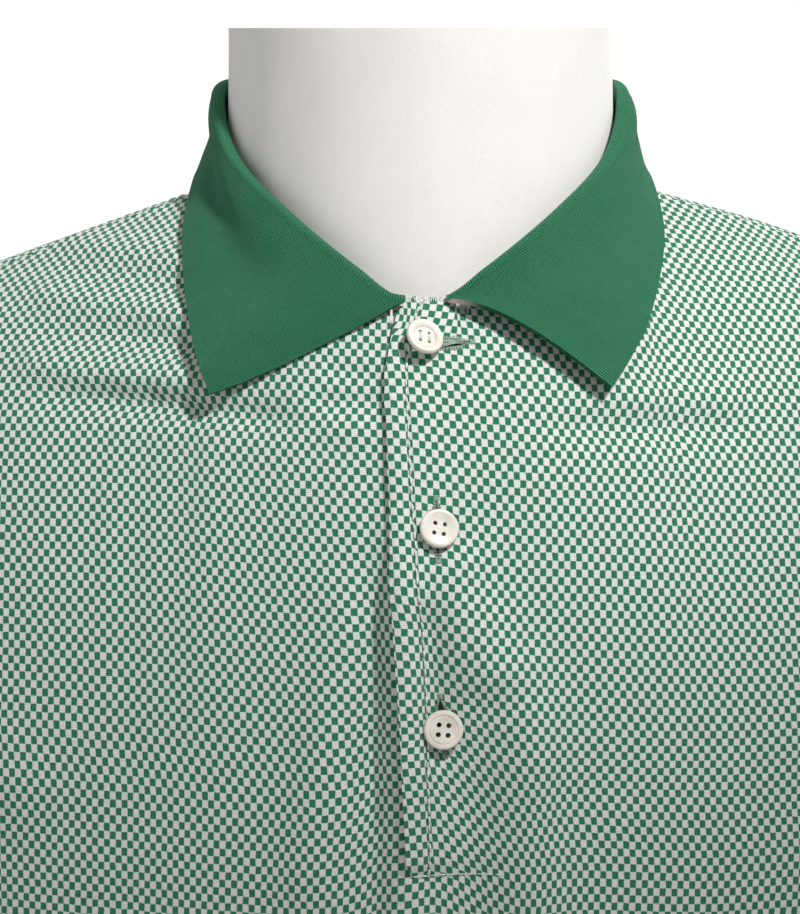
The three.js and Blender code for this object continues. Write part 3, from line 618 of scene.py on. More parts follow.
def collarKnit():
    n = Nodes("collarKnit")
    u, v, uv = n.cloth()
    wander = n.noise(uv, 0.25, 2)
    u2 = n.maths("ADD", u, n.maths("MULTIPLY_ADD", wander, 0.5, -0.25))
    rib = n.wave(u2, 0.78)
    loop = n.wave(n.maths("ADD", v, n.maths("MULTIPLY", rib, 0.12)), 0.52)
    grain = n.noise(n.join(n.maths("MULTIPLY", u, 1.6), v), 2.2, 3)
    patch = n.noise(uv, 0.09, 3)
    broken = n.ramp(n.noise(n.join(n.maths("MULTIPLY", u, 0.5), v), 1.1, 2), 0.3, 0.7)
    ribs = n.maths("MULTIPLY", rib, n.maths("MULTIPLY_ADD", broken, 0.7, 0.3))
    height = n.maths("ADD", n.maths("MULTIPLY", ribs, 0.75), n.maths("MULTIPLY", loop, 0.35))
    # the colour runs from dark in the rib hollows to light on the crests: painted shade and painted light
    # following the rib height, with the grain noise as random tone
    tone = n.maths("MULTIPLY_ADD", height, 0.62, grain, clamp=True)
    dark = n.mix(patch, colour(6, 50, 32), colour(14, 62, 42))
    light = n.mix(patch, colour(56, 138, 98), colour(72, 150, 112))
    n.bump(height, 0.00022, 0.9)
    fuzz = {"sheen": 0.22, "sheenRoughness": 0.45, "sheenTint": colour(150, 215, 180)}
    return n.surface(n.mix(tone, dark, light), 0.92, specular=0.2, **fuzz)


# The collar's pale underside, which runs out into green along its edge
def edgeKnit():
    n = Nodes("collarUnderside")
    place = n.place()
    fade = n.ramp(n.maths("MULTIPLY", n.split(place)[0], 50), 0.42, 0.95)
    pale = n.mix(n.noise(place, 1400, 3), colour(150, 136, 128), colour(214, 198, 190))
    return n.surface(n.mix(fade, pale, colour(24, 84, 56)), 0.92, specular=0.2)


def coverKnit():
    n = Nodes("formCover")
    u, v, uv = n.cloth()
    base = n.mix(n.noise(uv, 0.03, 3), dimmed((254, 249, 245), 0.93), colour(254, 249, 245))
    tone = n.maths("MULTIPLY_ADD", n.noise(uv, 1.6, 3), 0.08, 0.955)
    n.bump(n.maths("MULTIPLY", n.wave(u, 0.9), n.wave(v, 1.08)), 0.00008, 0.6)
    return n.surface(n.shaded(base, tone), 0.9, specular=0.2, sheen=0.8)


def buttonGloss():
    n = Nodes("buttonGloss")
    cloudy = n.ramp(n.noise(n.place(), 160, 4, 0.6), 0.35, 0.65)
    base = n.mix(cloudy, colour(222, 216, 202), colour(238, 233, 224))
    return n.surface(base, 0.32, coat=0.35, coatRoughness=0.15, subsurface=0.1, subsurfaceScale=0.001)


def threadFinish(name, tint):
    n = Nodes(name)
    twist = n.noise(n.place(), 2600, 2)
    n.bump(twist, 0.00004, 0.6)
    return n.surface(n.mix(twist, dimmed(tint, 0.86), colour(*tint)), 0.6)


checkMaterial = checkKnit()
collarMaterial = collarKnit()
linerMaterial = edgeKnit()
formMaterial = coverKnit()
buttonMaterial = buttonGloss()
threadMaterial = threadFinish("paleThread", (232, 240, 232))
holeThreadMaterial = threadFinish("holeThread", (160, 182, 166))
# painted shade for the buttonhole slits, a dark green laid in their openings
slitShadowMaterial = threadFinish("slitShade", (14, 36, 24))
print("materials made")


def rideRoot(obj):
    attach(obj, "root")


def finish(obj, node):
    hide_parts(node)
    rideRoot(obj)


# front and back
def spaced(low, high, count):
    return np.linspace(low, high, count + 1)


def acrossAt(x):
    return np.arcsin(np.asarray(x, float) / neckline["halfWidth"]) / math.pi


# Cells: beside the slit, across it, from hem to armpit, up to the slit's foot, and above that
frontGrid = {"side": 76, "slit": 20, "lower": 96, "foot": 26, "upper": 124}
backGrid = {"side": 78, "lower": 80, "upper": 110}

slitLeft = -float(acrossAt(placket["halfWidth"] - placket["underLap"]))
slitRight = float(acrossAt(placket["halfWidth"] - 1.0))
frontAcross = np.concatenate([
    spaced(-1, slitLeft, frontGrid["side"]),
    spaced(slitLeft, slitRight, frontGrid["slit"])[1:-1],
    spaced(slitRight, 1, frontGrid["side"]),
])
slitFootAt = placket["bottomAt"] + 0.008
frontUp = np.concatenate([
    spaced(-1, 0, frontGrid["lower"])[:-1], spaced(0, slitFootAt, frontGrid["foot"])[:-1],
    spaced(slitFootAt, 1, frontGrid["upper"]),
])
across, up = np.meshgrid(frontAcross, frontUp)
frontPoints = panelPoint("front", across, up)
frontFlat = flatten("front", frontPoints)


def besideSlit(r, c):
    below = r < frontGrid["lower"] + frontGrid["foot"]
    return below or c < frontGrid["side"] or c >= frontGrid["side"] + frontGrid["slit"]


# each side of the slit has its own pull, and below it the two run into each other
rightShare = smoothstep(across, slitLeft, slitRight)
frontUv = pulled(frontFlat, frontPoints, rightShare)
front = gridObject("shirtFront", frontPoints, frontUv, present=besideSlit, material=checkMaterial)
thicken(front, shirt["cloth"])
finish(front, "front")

backAcross = spaced(-1, 1, backGrid["side"] * 2)
backUp = np.concatenate([spaced(-1, 0, backGrid["lower"])[:-1], spaced(0, 1, backGrid["upper"])])
across, up = np.meshgrid(backAcross, backUp)
backPoints = panelPoint("back", -across, up)
back = gridObject("shirtBack", backPoints, flatten("back", backPoints), material=checkMaterial)
thicken(back, shirt["cloth"])
finish(back, "back")
print("panels made")


# placket
# How far the upper side's middle lies off the front's: flush at the sewn edge, a step up at the free one
flush = (shirt["cloth"] - shirt["placketCloth"]) / 2 - 0.12
placketStep = (shirt["cloth"] + shirt["placketCloth"]) / 2 + shirt["seamGap"] * 1.5
placketFoot, placketTop, stitchInset = placket["bottomAt"], placket["topAt"], placket["stitchInset"]
diveTo = placketFoot + 0.03
# Depth and half width in mm of the valley under the edge stitch and of the rolled edge, how far the
# stitch gathers the check, and how the free edge turns away at its top and foot
upperSide = {
    "valley": (0.4, 0.9), "rolled": (0.35, 1.2), "gather": 0.75, "gatherReach": 9,
    "turnFrom": 0.86, "topTurn": 5.3, "footTurn": 1.4,
}


def liftedFront(x, v, lift):
    u = acrossAt(x)
    return panelPoint("front", u, v) + panelNormal("front", u, v) * np.asarray(lift)[..., None]


# The upper side's edge on the wearer's right, which turns away from it under the collar
def freeEdge(v):
    turned = np.maximum(0, (v - upperSide["turnFrom"]) / (1 - upperSide["turnFrom"])) ** 1.5
    return -placket["halfWidth"] + upperSide["topTurn"] * turned


def upperX(u, v):
    edge = freeEdge(v) + upperSide["footTurn"] * (1 - smoothstep(v, placketFoot, diveTo))
    return edge + (placket["halfWidth"] - edge) * u


def bump(size, aside):
    return size[0] * np.exp(-((aside / size[1]) ** 2))


def upperLift(x, v):
    lapped = (placket["halfWidth"] - x) / (2 * placket["halfWidth"])
    aside = x - freeEdge(v)
    rise = (placketStep - flush) * lapped
    rise = rise - bump(upperSide["valley"], aside - stitchInset) - bump(upperSide["rolled"], aside)
    return flush + rise * smoothstep(v, placketFoot, diveTo)


def upperPlacket(u, v):
    x = upperX(u, v)
    return liftedFront(x, v, upperLift(x, v))


def underPlacket(u, v):
    left = -placket["halfWidth"] + placket["underLap"] + shirt["seamGap"] * 3
    x = left + (placket["halfWidth"] - placket["underLap"] - left) * u
    lift = upperLift(x, np.maximum(v, diveTo)) - shirt["placketCloth"] - shirt["seamGap"] * 1.5
    return liftedFront(x, v, lift), x


def cellOf(value, knots):
    at = np.interp(value, knots, np.arange(len(knots)))
    whole = np.clip(np.floor(at).astype(int), 0, len(knots) - 2)
    return whole, (at - whole)[..., None]


# The front's flat coordinates at a place on it, so the check runs on from one piece to the next
def flatAt(x, v):
    c0, fc = cellOf(acrossAt(x), frontAcross)
    r0, fr = cellOf(v, frontUp)
    low, top = (frontFlat[r, c0] * (1 - fc) + frontFlat[r, c0 + 1] * fc for r in (r0, r0 + 1))
    flat = low * (1 - fr) + top * fr
    flat[..., 1] += np.maximum(v - 1, 0) * 150
    return flat


u, v = np.meshgrid(spaced(0, 1, 44), spaced(placketFoot + 0.003, placketTop, 150))
# the corners of its top are trimmed under the collar, left and right
trim = {"left": (4.2, 7.4), "right": (6.8, 9.5), "deep": 0.03}
covered = smoothstep(-upperX(u, v), *trim["left"]) + smoothstep(upperX(u, v), *trim["right"])
v = v - trim["deep"] * covered * smoothstep(v, 0.9, placketTop)
overPoints = upperPlacket(u, v)
overFlat = flatAt(upperX(u, v), v)
# its own lengths across, from the sewn edge
overArc = arcs(overPoints, 1)
overFlat[..., 0] = overFlat[:, -1:, 0] + overArc - overArc[:, -1:]
overUv = pulled(overFlat, overPoints, 1.0)
aside = upperX(u, v) - freeEdge(v) - stitchInset
gathered = bump((upperSide["gather"], upperSide["gatherReach"]), np.maximum(aside, 0))
overUv[..., 0] += gathered * np.tanh(aside / upperSide["valley"][1])
over = gridObject("placketOver", overPoints, overUv, material=checkMaterial)
thicken(over, shirt["placketCloth"])
finish(over, "placket_over")
u, v = np.meshgrid(spaced(0, 1, 10), spaced(diveTo, placketTop - 0.012, 110))
underPoints, underX = underPlacket(u, v)
under = gridObject("placketUnder", underPoints, flatAt(underX, v), material=checkMaterial)
thicken(under, shirt["placketCloth"])
finish(under, "placket_under")
print("plackets made")


# thread
# Stitches are short arched tubes from starts to ends, points on the cloth. normals point off it.
def threads(name, starts, ends, normals, radius, arch, material, sides=6, rings=6):
    along = unit(ends - starts)
    across = unit(np.cross(along, normals))
    lifted = np.cross(across, along)
    t = np.linspace(0, 1, rings)
    bow = np.sin(np.pi * t)
    slim = radius * (0.35 + 0.65 * np.sqrt(np.clip(bow, 0, 1)))
    slimness = 1 + 0.22 * np.sin(np.arange(len(starts)) * 2.399)
    centre = starts[:, None] + (ends - starts)[:, None] * t[:, None] + lifted[:, None] * (arch * bow)[:, None]
    turn = np.linspace(0, 2 * np.pi, sides, endpoint=False)[:, None]
    ring = across[:, None, None] * np.cos(turn) + lifted[:, None, None] * np.sin(turn)
    verts = (centre[:, :, None] + ring * (slimness[:, None] * slim)[:, :, None, None]).reshape(-1, 3)
    faces = []
    for k in range(len(starts)):
        base = k * rings * sides
        faces.extend(cell(base, sides, r, c) for r in range(rings - 1) for c in range(sides))
        faces.append(tuple(range(base, base + sides))[::-1])
        faces.append(tuple(range(base + (rings - 1) * sides, base + rings * sides)))
    obj = newObject(name, verts, faces, material)
    faceOut(obj)
    rideRoot(obj)
    return obj


# Splits a line of points, with off for its normals, into stitches of one length with a gap between.
def stitchLine(name, points, off, length, gap, radius, arch, **tube):
    arc = arcs(points)
    count = max(int(arc[-1] / (length + gap)), 1)
    pitch = arc[-1] / count
    at = (np.arange(count) + 0.5) * pitch
    half = (pitch - gap) / 2
    starts, ends = (
        np.stack([np.interp(edge, arc, points[:, k]) for k in range(3)], axis=-1)
        for edge in (at - half, at + half)
    )
    k = np.linspace(0, len(points) - 1, count).astype(int)
    threads(name, starts, ends, off[k], radius, arch, threadMaterial, **tube)


# Seam and hem rows lie on the outer face of the panels
def hemRow(name, points, off, length=2.6):
    line = points + off * (shirt["cloth"] / 2 + 0.1)
    stitchLine(name, line, off, length, 0.5, 0.2, 0.15, sides=4, rings=4)


# A place on the outer face of the placket, and the direction off it.
def onPlacket(x, v, off=0.0):
    x, v = np.broadcast_arrays(np.asarray(x, float), np.asarray(v, float))
    lift = upperLift(x, v) + shirt["placketCloth"] / 2 + off
    return liftedFront(x, v, lift)


def offPlacket(x, v):
    dx = onPlacket(x + 0.4, v) - onPlacket(x - 0.4, v)
    dv = onPlacket(x, v + 0.002) - onPlacket(x, v - 0.002)
    return unit(np.cross(dx, dv))


placketV = np.linspace(placketFoot, placketTop, 400)
placketArc = arcs(onPlacket(0, placketV))


# v moved up the placket by a distance in mm
def upBy(v, distance):
    return np.interp(np.interp(v, placketV, placketArc) + distance, placketArc, placketV)


v = np.linspace(upBy(placketFoot, 1.4), upBy(placketTop, -0.6), 300)
x = freeEdge(v) + stitchInset
stitchLine("edgeStitch", onPlacket(x, v, 0.42), offPlacket(x, v), 2.1, 0.55, 0.32, 0.25)
x = np.linspace(-11.5, 14.5, 60)
v = np.full(60, upBy(placketFoot, 1.6))
stitchLine("footStitch", onPlacket(x, v, 0.12), offPlacket(x, v), 1.9, 0.7, 0.22, 0.2)

# Overlock loops over the placket's top edge
x = np.arange(-7.2, 12.0, 0.62)
k = np.arange(len(x))
jitter = 0.25 * np.sin(k * 2.7)
off = offPlacket(x, placketTop)
low = onPlacket(x + jitter, upBy(placketTop, -1.7 + 0.4 * np.sin(k * 1.9)), 0.1)
high = onPlacket(x - jitter, placketTop) - off * 0.5
high[:, 2] += 0.3
threads("topLoops", low, high, off, 0.2, 0.35, threadMaterial)


# Two rows of stitches round the hem, and one beside each shoulder seam
def panelRow(name, panel, across, up, length=2.6):
    across, up = -facing[panel] * across, np.full(len(across), up)
    hemRow(name, panelPoint(panel, across, up), panelNormal(panel, across, up), length)


hemRows = (19.5, 25.0)
bodyHeight = shirt["armpitZ"] - shirt["hemZ"]
for panel in ("front", "back"):
    for k, height in enumerate(hemRows):
        panelRow(f"{panel}Hem{k + 1}", panel, np.linspace(-0.995, 0.995, 500), height / bodyHeight - 1)
for name, inner, outer in (("Left", 0.52, 0.985), ("Right", -0.985, -0.52)):
    panelRow(f"shoulderRow{name}", "back", np.linspace(inner, outer, 300), 0.972, 2.4)

# Buttonholes: satin stitches down both sides of a slit, and a bar across each end. lie is the way the
# slit runs, open how far it gapes under the button, reach how far along it does, band the stitches' length.
buttonholes = [
    {"v": 0.923, "x": 3.6, "lie": "across", "length": 18.6, "open": 1.6, "reach": 7.6, "band": 1.5},
    {"v": 0.649, "x": -0.3, "lie": "up", "length": 19.6, "open": 1.2, "reach": 7.4, "band": 1.9},
    {"v": 0.396, "x": -0.9, "lie": "up", "length": 18.6, "open": 1.9, "reach": 8.2, "band": 1.5},
]
satin = {"pitch": 0.33, "radius": 0.2, "bar": 1.3, "barHalf": 0.95, "slant": 0.35, "shut": 0.04}


def holePoint(hole, along, aside):
    if hole["lie"] == "up":
        return hole["x"] + aside, upBy(hole["v"], along)
    return hole["x"] + along, upBy(hole["v"], aside)


def gapeAt(hole, along):
    return satin["shut"] + hole["open"] / 2 * smoothstep(hole["reach"] - np.abs(along), 0, 3.5)


for i, hole in enumerate(buttonholes):
    half = hole["length"] / 2
    s = np.arange(-half + satin["bar"], half - satin["bar"], satin["pitch"])
    gape = gapeAt(hole, s)
    reach = hole["band"] * (0.45 + 0.55 * gape / gape.max())
    starts, ends, normals = [], [], []
    for side in (-1, 1):
        ragged = 0.2 * np.sin(np.arange(len(s)) * 1.7 + side)
        lean = satin["slant"] * np.cos(np.arange(len(s)) * 2.1)
        for offset, line, shift in ((gape, starts, 0), (gape + reach + ragged, ends, lean)):
            x, v = holePoint(hole, s + shift, side * offset)
            line.append(onPlacket(x, v, 0.08))
        x, v = holePoint(hole, s, side * (gape + reach))
        normals.append(offPlacket(x, v))
    for end in (-1, 1):
        k = np.arange(0, satin["bar"], satin["pitch"])
        for side, line in ((-1, starts), (1, ends)):
            x, v = holePoint(hole, end * (half - k), side * satin["barHalf"])
            line.append(onPlacket(x, v, 0.08))
        x, v = holePoint(hole, end * (half - k), -satin["barHalf"])
        normals.append(offPlacket(x, v))
    lines = (np.concatenate(line) for line in (starts, ends, normals))
    threads(f"buttonhole{i + 1}", *lines, satin["radius"], 0.16, holeThreadMaterial)
    # the slit's opening: a dark sliver laid on the placket, painted shade where the slit gapes
    s = np.linspace(-half + satin["bar"], half - satin["bar"], 40)
    rows = []
    for side in (-1, 0, 1):
        x, v = holePoint(hole, s, side * (gapeAt(hole, s) + 0.05))
        rows.append(onPlacket(x, v, 0.06))
    shadeSliver = gridObject(f"slit{i + 1}", np.array(rows), np.zeros((3, 40, 2)), material=slitShadowMaterial)
    rideRoot(shadeSliver)
# Loose ends fan out beside the first button
k = np.arange(11)
height = upBy(buttonholes[0]["v"], np.linspace(-1.9, 1.9, len(k)) + 0.3 * np.sin(k * 2.3))
tip = upBy(buttonholes[0]["v"], 0.5 * np.sin(k * 1.7))
low = onPlacket(1.5, height, 0.45)
high = onPlacket(9.5 + 1.8 * np.sin(k * 2.9), tip, 0.3)
threads("looseEnds", low, high, offPlacket(6.0, height), 0.17, 0.7, holeThreadMaterial)
print("thread made")


# sleeves
# How the frame's own rows bunch up towards the shoulder, in front and behind
bunching = {
    "front": np.array([0, 0.1, 0.2, 0.3, 0.4, 0.5, 0.6, 0.7, 0.79, 0.87, 0.94, 1]),
    "back": np.array([0, 0.12, 0.24, 0.36, 0.48, 0.6, 0.7, 0.8, 0.88, 0.94, 0.975, 1]),
}


def closed(rows):
    return np.concatenate([rows, rows[:, :1]], axis=1)


# The left sleeve, from the armhole down to the cuff
def sleeveRows():
    tilt = math.radians(sleeve["tilt"])
    along = np.array([math.sin(tilt), 0, -math.cos(tilt)])
    overWay = np.array([math.cos(tilt), 0, math.sin(tilt)])
    tip = np.array([shoulderTip["x"], shoulderTip["y"], shoulderTip["z"]], float)
    cuff = tip + along * sleeve["length"] - overWay * sleeve["cuffHalfWidth"]
    frontV = 1 - spaced(0, 1, 48)
    backV = spaced(0, 1, 48)[1:-1]
    start = np.concatenate([panelPoint("front", 1, frontV), panelPoint("back", 1, backV)])
    shareFront = np.interp(1 - frontV, 1 - bunching["front"][::-1], spaced(0, 1, 11))
    shareBack = 1 + np.interp(backV, bunching["back"], spaced(0, 1, 11))
    share = np.concatenate([shareFront, shareBack])
    height = (start[:, 2] - shirt["armpitZ"]) / (shoulderTip["z"] - shirt["armpitZ"])
    away = unit(pointsOf(0.4 + 0.5 * height, 0, -0.92 + 0.5 * height))
    low, high = sleeve["armpitClear"], shirt["seamGap"] * 2
    start = start + away * (low + (high - low) * height)[:, None]
    turn = share * math.pi
    end = cuff + overWay * (sleeve["cuffHalfWidth"] * np.cos(turn))[:, None]
    end[:, 1] -= sleeve["cuffHalfDepth"] * np.sin(turn)
    reach = 0.36 * np.linalg.norm(end - start, axis=1)[:, None]
    t = spaced(0, 1, 64)[:, None] * np.ones(len(share))
    return bezier(start[None], (start + away * reach)[None], (end - along * reach)[None], end[None], t)


leftRows = sleeveRows()
for name, node, rows in (
    ("sleeveLeft", "sleeve_left", leftRows),
    ("sleeveRight", "sleeve_right", (leftRows * (-1, 1, 1))[:, ::-1]),
):
    rows = closed(rows)
    down = arcs(rows)
    uv = np.stack([arcs(rows, 1), -down], axis=-1)
    piece = gridObject(name, rows[:, :-1], uv, loop=True, material=checkMaterial)
    faceOut(piece)
    thicken(piece, shirt["cloth"])
    finish(piece, node)
    # two rows of stitches round the cuff
    fromCuff = (down[-1:] - down)[::-1]
    for k, inset in enumerate(hemRows):
        line = np.array([
            [np.interp(inset, fromCuff[:, c], rows[::-1, c, i]) for i in range(3)]
            for c in range(rows.shape[1])
        ])
        tangent = np.roll(line, -1, axis=0) - np.roll(line, 1, axis=0)
        outward = unit(np.cross(tangent, rows[-1] - line))
        outward *= np.sign(((line - line.mean(axis=0)) * outward).sum(axis=1, keepdims=True))
        hemRow(f"{name}Hem{k + 1}", line, outward)
print("sleeves made")


# collar
# turn is the angle round the neck in degrees, from the middle of the front. radius is that of the roll.
collar = {
    "halfWidth": 61, "front": 70.5, "back": 60, "radius": 1.5, "footClear": 1.5, "minRise": 0.3,
    "endSlope": 4.0, "endClear": 1.1, "cloth": shirt["collarCloth"] * 0.75,
}
foldLine = table(
    "turn z",
    (0, 715.4), (6, 716.7), (11, 719.7), (17, 724.8), (42.5, 743.3),
    (65, 757.5), (90, 775.5), (125, 779), (180, 782),
)
# The leaves' free edges, and how far their middle curves out (roll, lie) and up
leafNames = "turn x y z roll lie rollUp lieUp"
leafEdge = {
    "right": table(
        leafNames,
        (4.4, -61.7, -77.6, 689.3, 1, 1, -1, -3), (17, -65.3, -71.5, 698.4, 1, 1, 0, 0),
        (36, -69.2, -54, 712.6, 1.5, 0, 0, 0), (56, -72, -28, 731.8, 1.5, -1.5, 0, 0),
        (73, -70.3, -6, 746.6, 1, -2, 0, 0), (90, -68.3, 17, 751.5, 0.8, -0.5, 0, 0),
        (125, -58, 50, 753, 3, 1, 0, 0), (180, 0, 73, 750, 4, 1, 0, 0),
    ),
    "left": table(
        leafNames,
        (6.7, 54.6, -83.5, 691.8, 3, 2, 8, 4), (17, 61, -75, 700, 2, 1, 3, 2),
        (36, 67.5, -59.5, 711, 1.5, 0, 0, 0), (56, 73.4, -30, 731.3, 2.5, -1.5, 0, 0),
        (73, 71.8, -8, 746.5, 4, -2.5, 0, 0), (90, 68.8, 16, 752.5, 4, -1, 0, 0),
        (125, 58.5, 50, 754, 4, 1, 0, 0), (180, 0, 73, 750, 4, 1, 0, 0),
    ),
}
# A soft trough along the middle of each leaf
leafTrough = {"right": {"at": 2.5, "deep": 2.6}, "left": {"at": 2.42, "deep": 1.6}}


# w runs from 0 at the foot to 1 at the top of the stand, 2 past the roll and 3 at the leaf's edge.
# Near the collar's ends it leans, sits lower, rolls tighter and lifts a little off the front.
def collarPoint(side, turn, w):
    turn, w = np.broadcast_arrays(np.asarray(turn, float), np.asarray(w, float))
    ring = 1 if side == "left" else -1
    fromEnd = turn - leafEdge[side]["turn"][0]
    turn = turn + collar["endSlope"] * np.clip(1.2 - w, 0, 1) * np.exp(-fromEnd / 6)
    nearEnd = np.exp(-((fromEnd / 7) ** 2))
    angle = np.radians(turn)
    at = np.minimum(turn, 180 - turn) / 180
    sewnTo = {panel: panelPoint(panel, ring * at, 1) for panel in ("front", "back")}
    foot = np.where(turn[..., None] <= 90, sewnTo["front"], sewnTo["back"])
    foot[..., 2] += collar["footClear"] * (1 - 0.6 * nearEnd)
    radius = collar["radius"] * (1 - 0.33 * nearEnd)
    minRise = collar["minRise"] * (1 - 1.3 * nearEnd)
    depth = np.where(turn <= 90, -collar["front"], collar["back"])
    spread = np.abs(np.cos(angle))
    out = pointsOf(ring * np.sin(angle), -np.cos(angle), 0)
    topZ = np.maximum(sample(foldLine, "turn", "z", turn), foot[..., 2] + radius + minRise)
    top = pointsOf(ring * collar["halfWidth"] * np.sin(angle), neckline["centreY"] + depth * spread, topZ)
    radius = radius[..., None]
    centre = top + out * radius
    centre[..., 2] -= radius[..., 0]
    rollStart = centre - out * radius
    rollEnd = centre + out * radius
    k = w[..., None]
    stand = foot + (rollStart - foot) * np.clip(k, 0, 1)
    bend = np.clip(2 - k, 0, 1) * math.pi
    roll = centre + out * (radius * np.cos(bend))
    roll[..., 2] += (radius * np.sin(bend))[..., 0]
    edge = {name: sample(leafEdge[side], "turn", name, turn) for name in leafNames.split()[1:]}
    end = pointsOf(edge["x"], edge["y"], edge["z"])
    upper = rollEnd + (end - rollEnd) * 0.3 + out * edge["roll"][..., None]
    lower = rollEnd + (end - rollEnd) * 0.7 + out * edge["lie"][..., None]
    upper[..., 2] += edge["rollUp"]
    lower[..., 2] += edge["lieUp"]
    leaf = bezier(rollEnd, upper, lower, end, np.clip(w - 2, 0, 1))
    deep = leafTrough[side]["deep"] * np.exp(-(((w - leafTrough[side]["at"]) / 0.2) ** 2))
    deep = deep * smoothstep(fromEnd, 14, 34) * smoothstep(110 - turn, 0, 40)
    down = np.clip(w - 2, 0, 1)
    clear = collar["endClear"] * nearEnd * np.minimum(down * 6, 1) * (1 - down)
    leaf = leaf + out * (clear - deep)[..., None]
    return np.where(k <= 1, stand, np.where(k <= 2, roll, leaf))


collarW = np.concatenate([spaced(0, 1, 10)[:-1], spaced(1, 2, 16)[:-1], spaced(2, 3, 44)])
parts = []
for side in ("right", "left"):
    turns = np.concatenate([spaced(leafEdge[side]["turn"][0], 30, 30)[:-1], spaced(30, 180, 90)])
    parts.append(collarPoint(side, *np.meshgrid(turns, collarW)))
collarPoints = np.concatenate([parts[0], parts[1][:, ::-1][:, 1:]], axis=1)
# the ribs run straight down from the fold
foldRow = int(np.argmin(np.abs(collarW - 1.5)))
collarDown = arcs(collarPoints)
collarAcross = np.broadcast_to(arcs(collarPoints[foldRow]), collarDown.shape)
collarUv = np.stack([collarAcross, collarDown[foldRow] - collarDown], axis=-1)
collarObject = gridObject("collarStrip", collarPoints, collarUv, material=collarMaterial)
collarObject.data.materials.append(linerMaterial)
collarObject.data.materials.append(collarMaterial)
thicken(collarObject, collar["cloth"])
# the pale underside shows along the edge of the leaf that stands off the chest
for face in collarObject.data.polygons:
    if face.material_index == 2 and 0 < face.center.x < 0.02 and face.center.y < -0.06:
        face.material_index = 1
finish(collarObject, "collar")
print("collar made")


# dress form
# The form is the panels' own shape without folds, moved in: close at the shoulders, well clear below
def formPoint(panel, across, up):
    at = np.abs(across)
    lap = form["frontLap"] * smoothstep(0.45 - at, 0, 0.4) if panel == "front" else 0
    near = shirt["cloth"] / 2 + form["shoulderGap"] + lap
    far = form["bodyGap"] + form["sideGap"] * at
    gap = far + (near - far) * smoothstep(up, -0.1, 0.9)
    return smoothPoint(panel, across, up) - panelNormal(panel, across, up, smoothPoint) * gap[..., None]


def buildForm():
    footUp = -shirt["armpitZ"] / (shirt["armpitZ"] - shirt["hemZ"])
    us = spaced(-1, 1, 96)
    vs = np.concatenate([spaced(footUp, 0, 40)[:-1], spaced(0, 1, 64)])
    u, v = np.meshgrid(us, vs)
    frontSkin = formPoint("front", u, v)
    backSkin = formPoint("back", u, v)
    seam = ((v == 1) & (np.abs(u) >= 0.5)) | ((np.abs(u) == 1) & (v <= 0))
    shared = (frontSkin + backSkin) / 2
    frontSkin[seam] = shared[seam]
    backSkin[seam] = shared[seam]
    frontSkin[0, :, 2] = 0
    backSkin[0, :, 2] = 0
    verts, faces = [], []

    def skin(rows, loop):
        start, count = len(verts), rows.shape[1]
        verts.extend(rows.reshape(-1, 3).tolist())
        wide = count if loop else count - 1
        faces.extend(cell(start, count, r, c) for r in range(rows.shape[0] - 1) for c in range(wide))

    def cap(ring, centre):
        start, count = len(verts), len(ring)
        verts.extend(ring.tolist() + [list(centre)])
        faces.extend((start + c, start + (c + 1) % count, start + count) for c in range(count))

    skin(frontSkin, False)
    skin(backSkin[:, ::-1], False)
    foot = np.concatenate([frontSkin[0], backSkin[0, ::-1][1:-1]])
    cap(foot[::-1], (0, shirt["sideSeamY"], 0))
    neck = np.abs(us) <= 0.5 + 1e-9
    frontNeck = frontSkin[-1][neck]
    backNeck = backSkin[-1][neck][::-1][1:-1]
    p = np.concatenate([frontNeck, backNeck])
    turn = np.concatenate([us[neck] * math.pi, (math.pi - us[neck][::-1][1:-1] * math.pi)])
    depth = np.repeat([form["neckFront"], form["neckBack"]], [len(frontNeck), len(backNeck)])
    x = form["neckHalfWidth"] * np.sin(turn)
    y = neckline["centreY"] - depth * np.cos(turn)
    bendPoint = pointsOf(p[:, 0] + (x - p[:, 0]) * 0.75, p[:, 1] + (y - p[:, 1]) * 0.75, p[:, 2] + 4)
    t = spaced(0, 1, 40)[:, None] * np.ones(len(p))
    neckRows = bezier(p, bendPoint, pointsOf(x, y, p[:, 2] + 16), pointsOf(x, y, form["topZ"]), t)
    skin(neckRows, True)
    cap(neckRows[-1], (0, neckline["centreY"], form["topZ"]))
    # shallow domes close the armholes
    for side, column in ((1, -1), (-1, 0)):
        rim = np.concatenate([frontSkin[vs >= 0, column][::-1], backSkin[vs >= 0, column][1:-1]])
        centre = rim.mean(axis=0)
        swell = side * form["domeSwell"]
        rows = np.array([
            rim + (centre - rim) * t + (swell * t * (2 - t), 0, 0)
            for t in (0, 0.08, 0.18, 0.3, 0.45, 0.6, 0.8)
        ])[:, ::side]
        skin(rows, True)
        cap(rows[-1], centre + (swell, 0, 0))
    obj = newObject("dressForm", verts, faces, formMaterial)
    bm = bmesh.new()
    bm.from_mesh(obj.data)
    bmesh.ops.remove_doubles(bm, verts=bm.verts, dist=1e-5)
    bmesh.ops.recalc_face_normals(bm, faces=bm.faces)
    layer = bm.loops.layers.uv.new("cloth")
    for face in bm.faces:
        for corner in face.loops:
            co = corner.vert.co * 1000
            corner[layer].uv = (math.atan2(co.x, -co.y) * form["coverRound"], co.z)
    bm.to_mesh(obj.data)
    bm.free()
    shadeByAngle(obj, 40)
    return obj


finish(buildForm(), "dress_form")
print("form made")


# buttons
button = {"radius": 5.7, "thick": 2.4, "holeSpread": 1.4, "seat": 0.3, "vertices": 96}
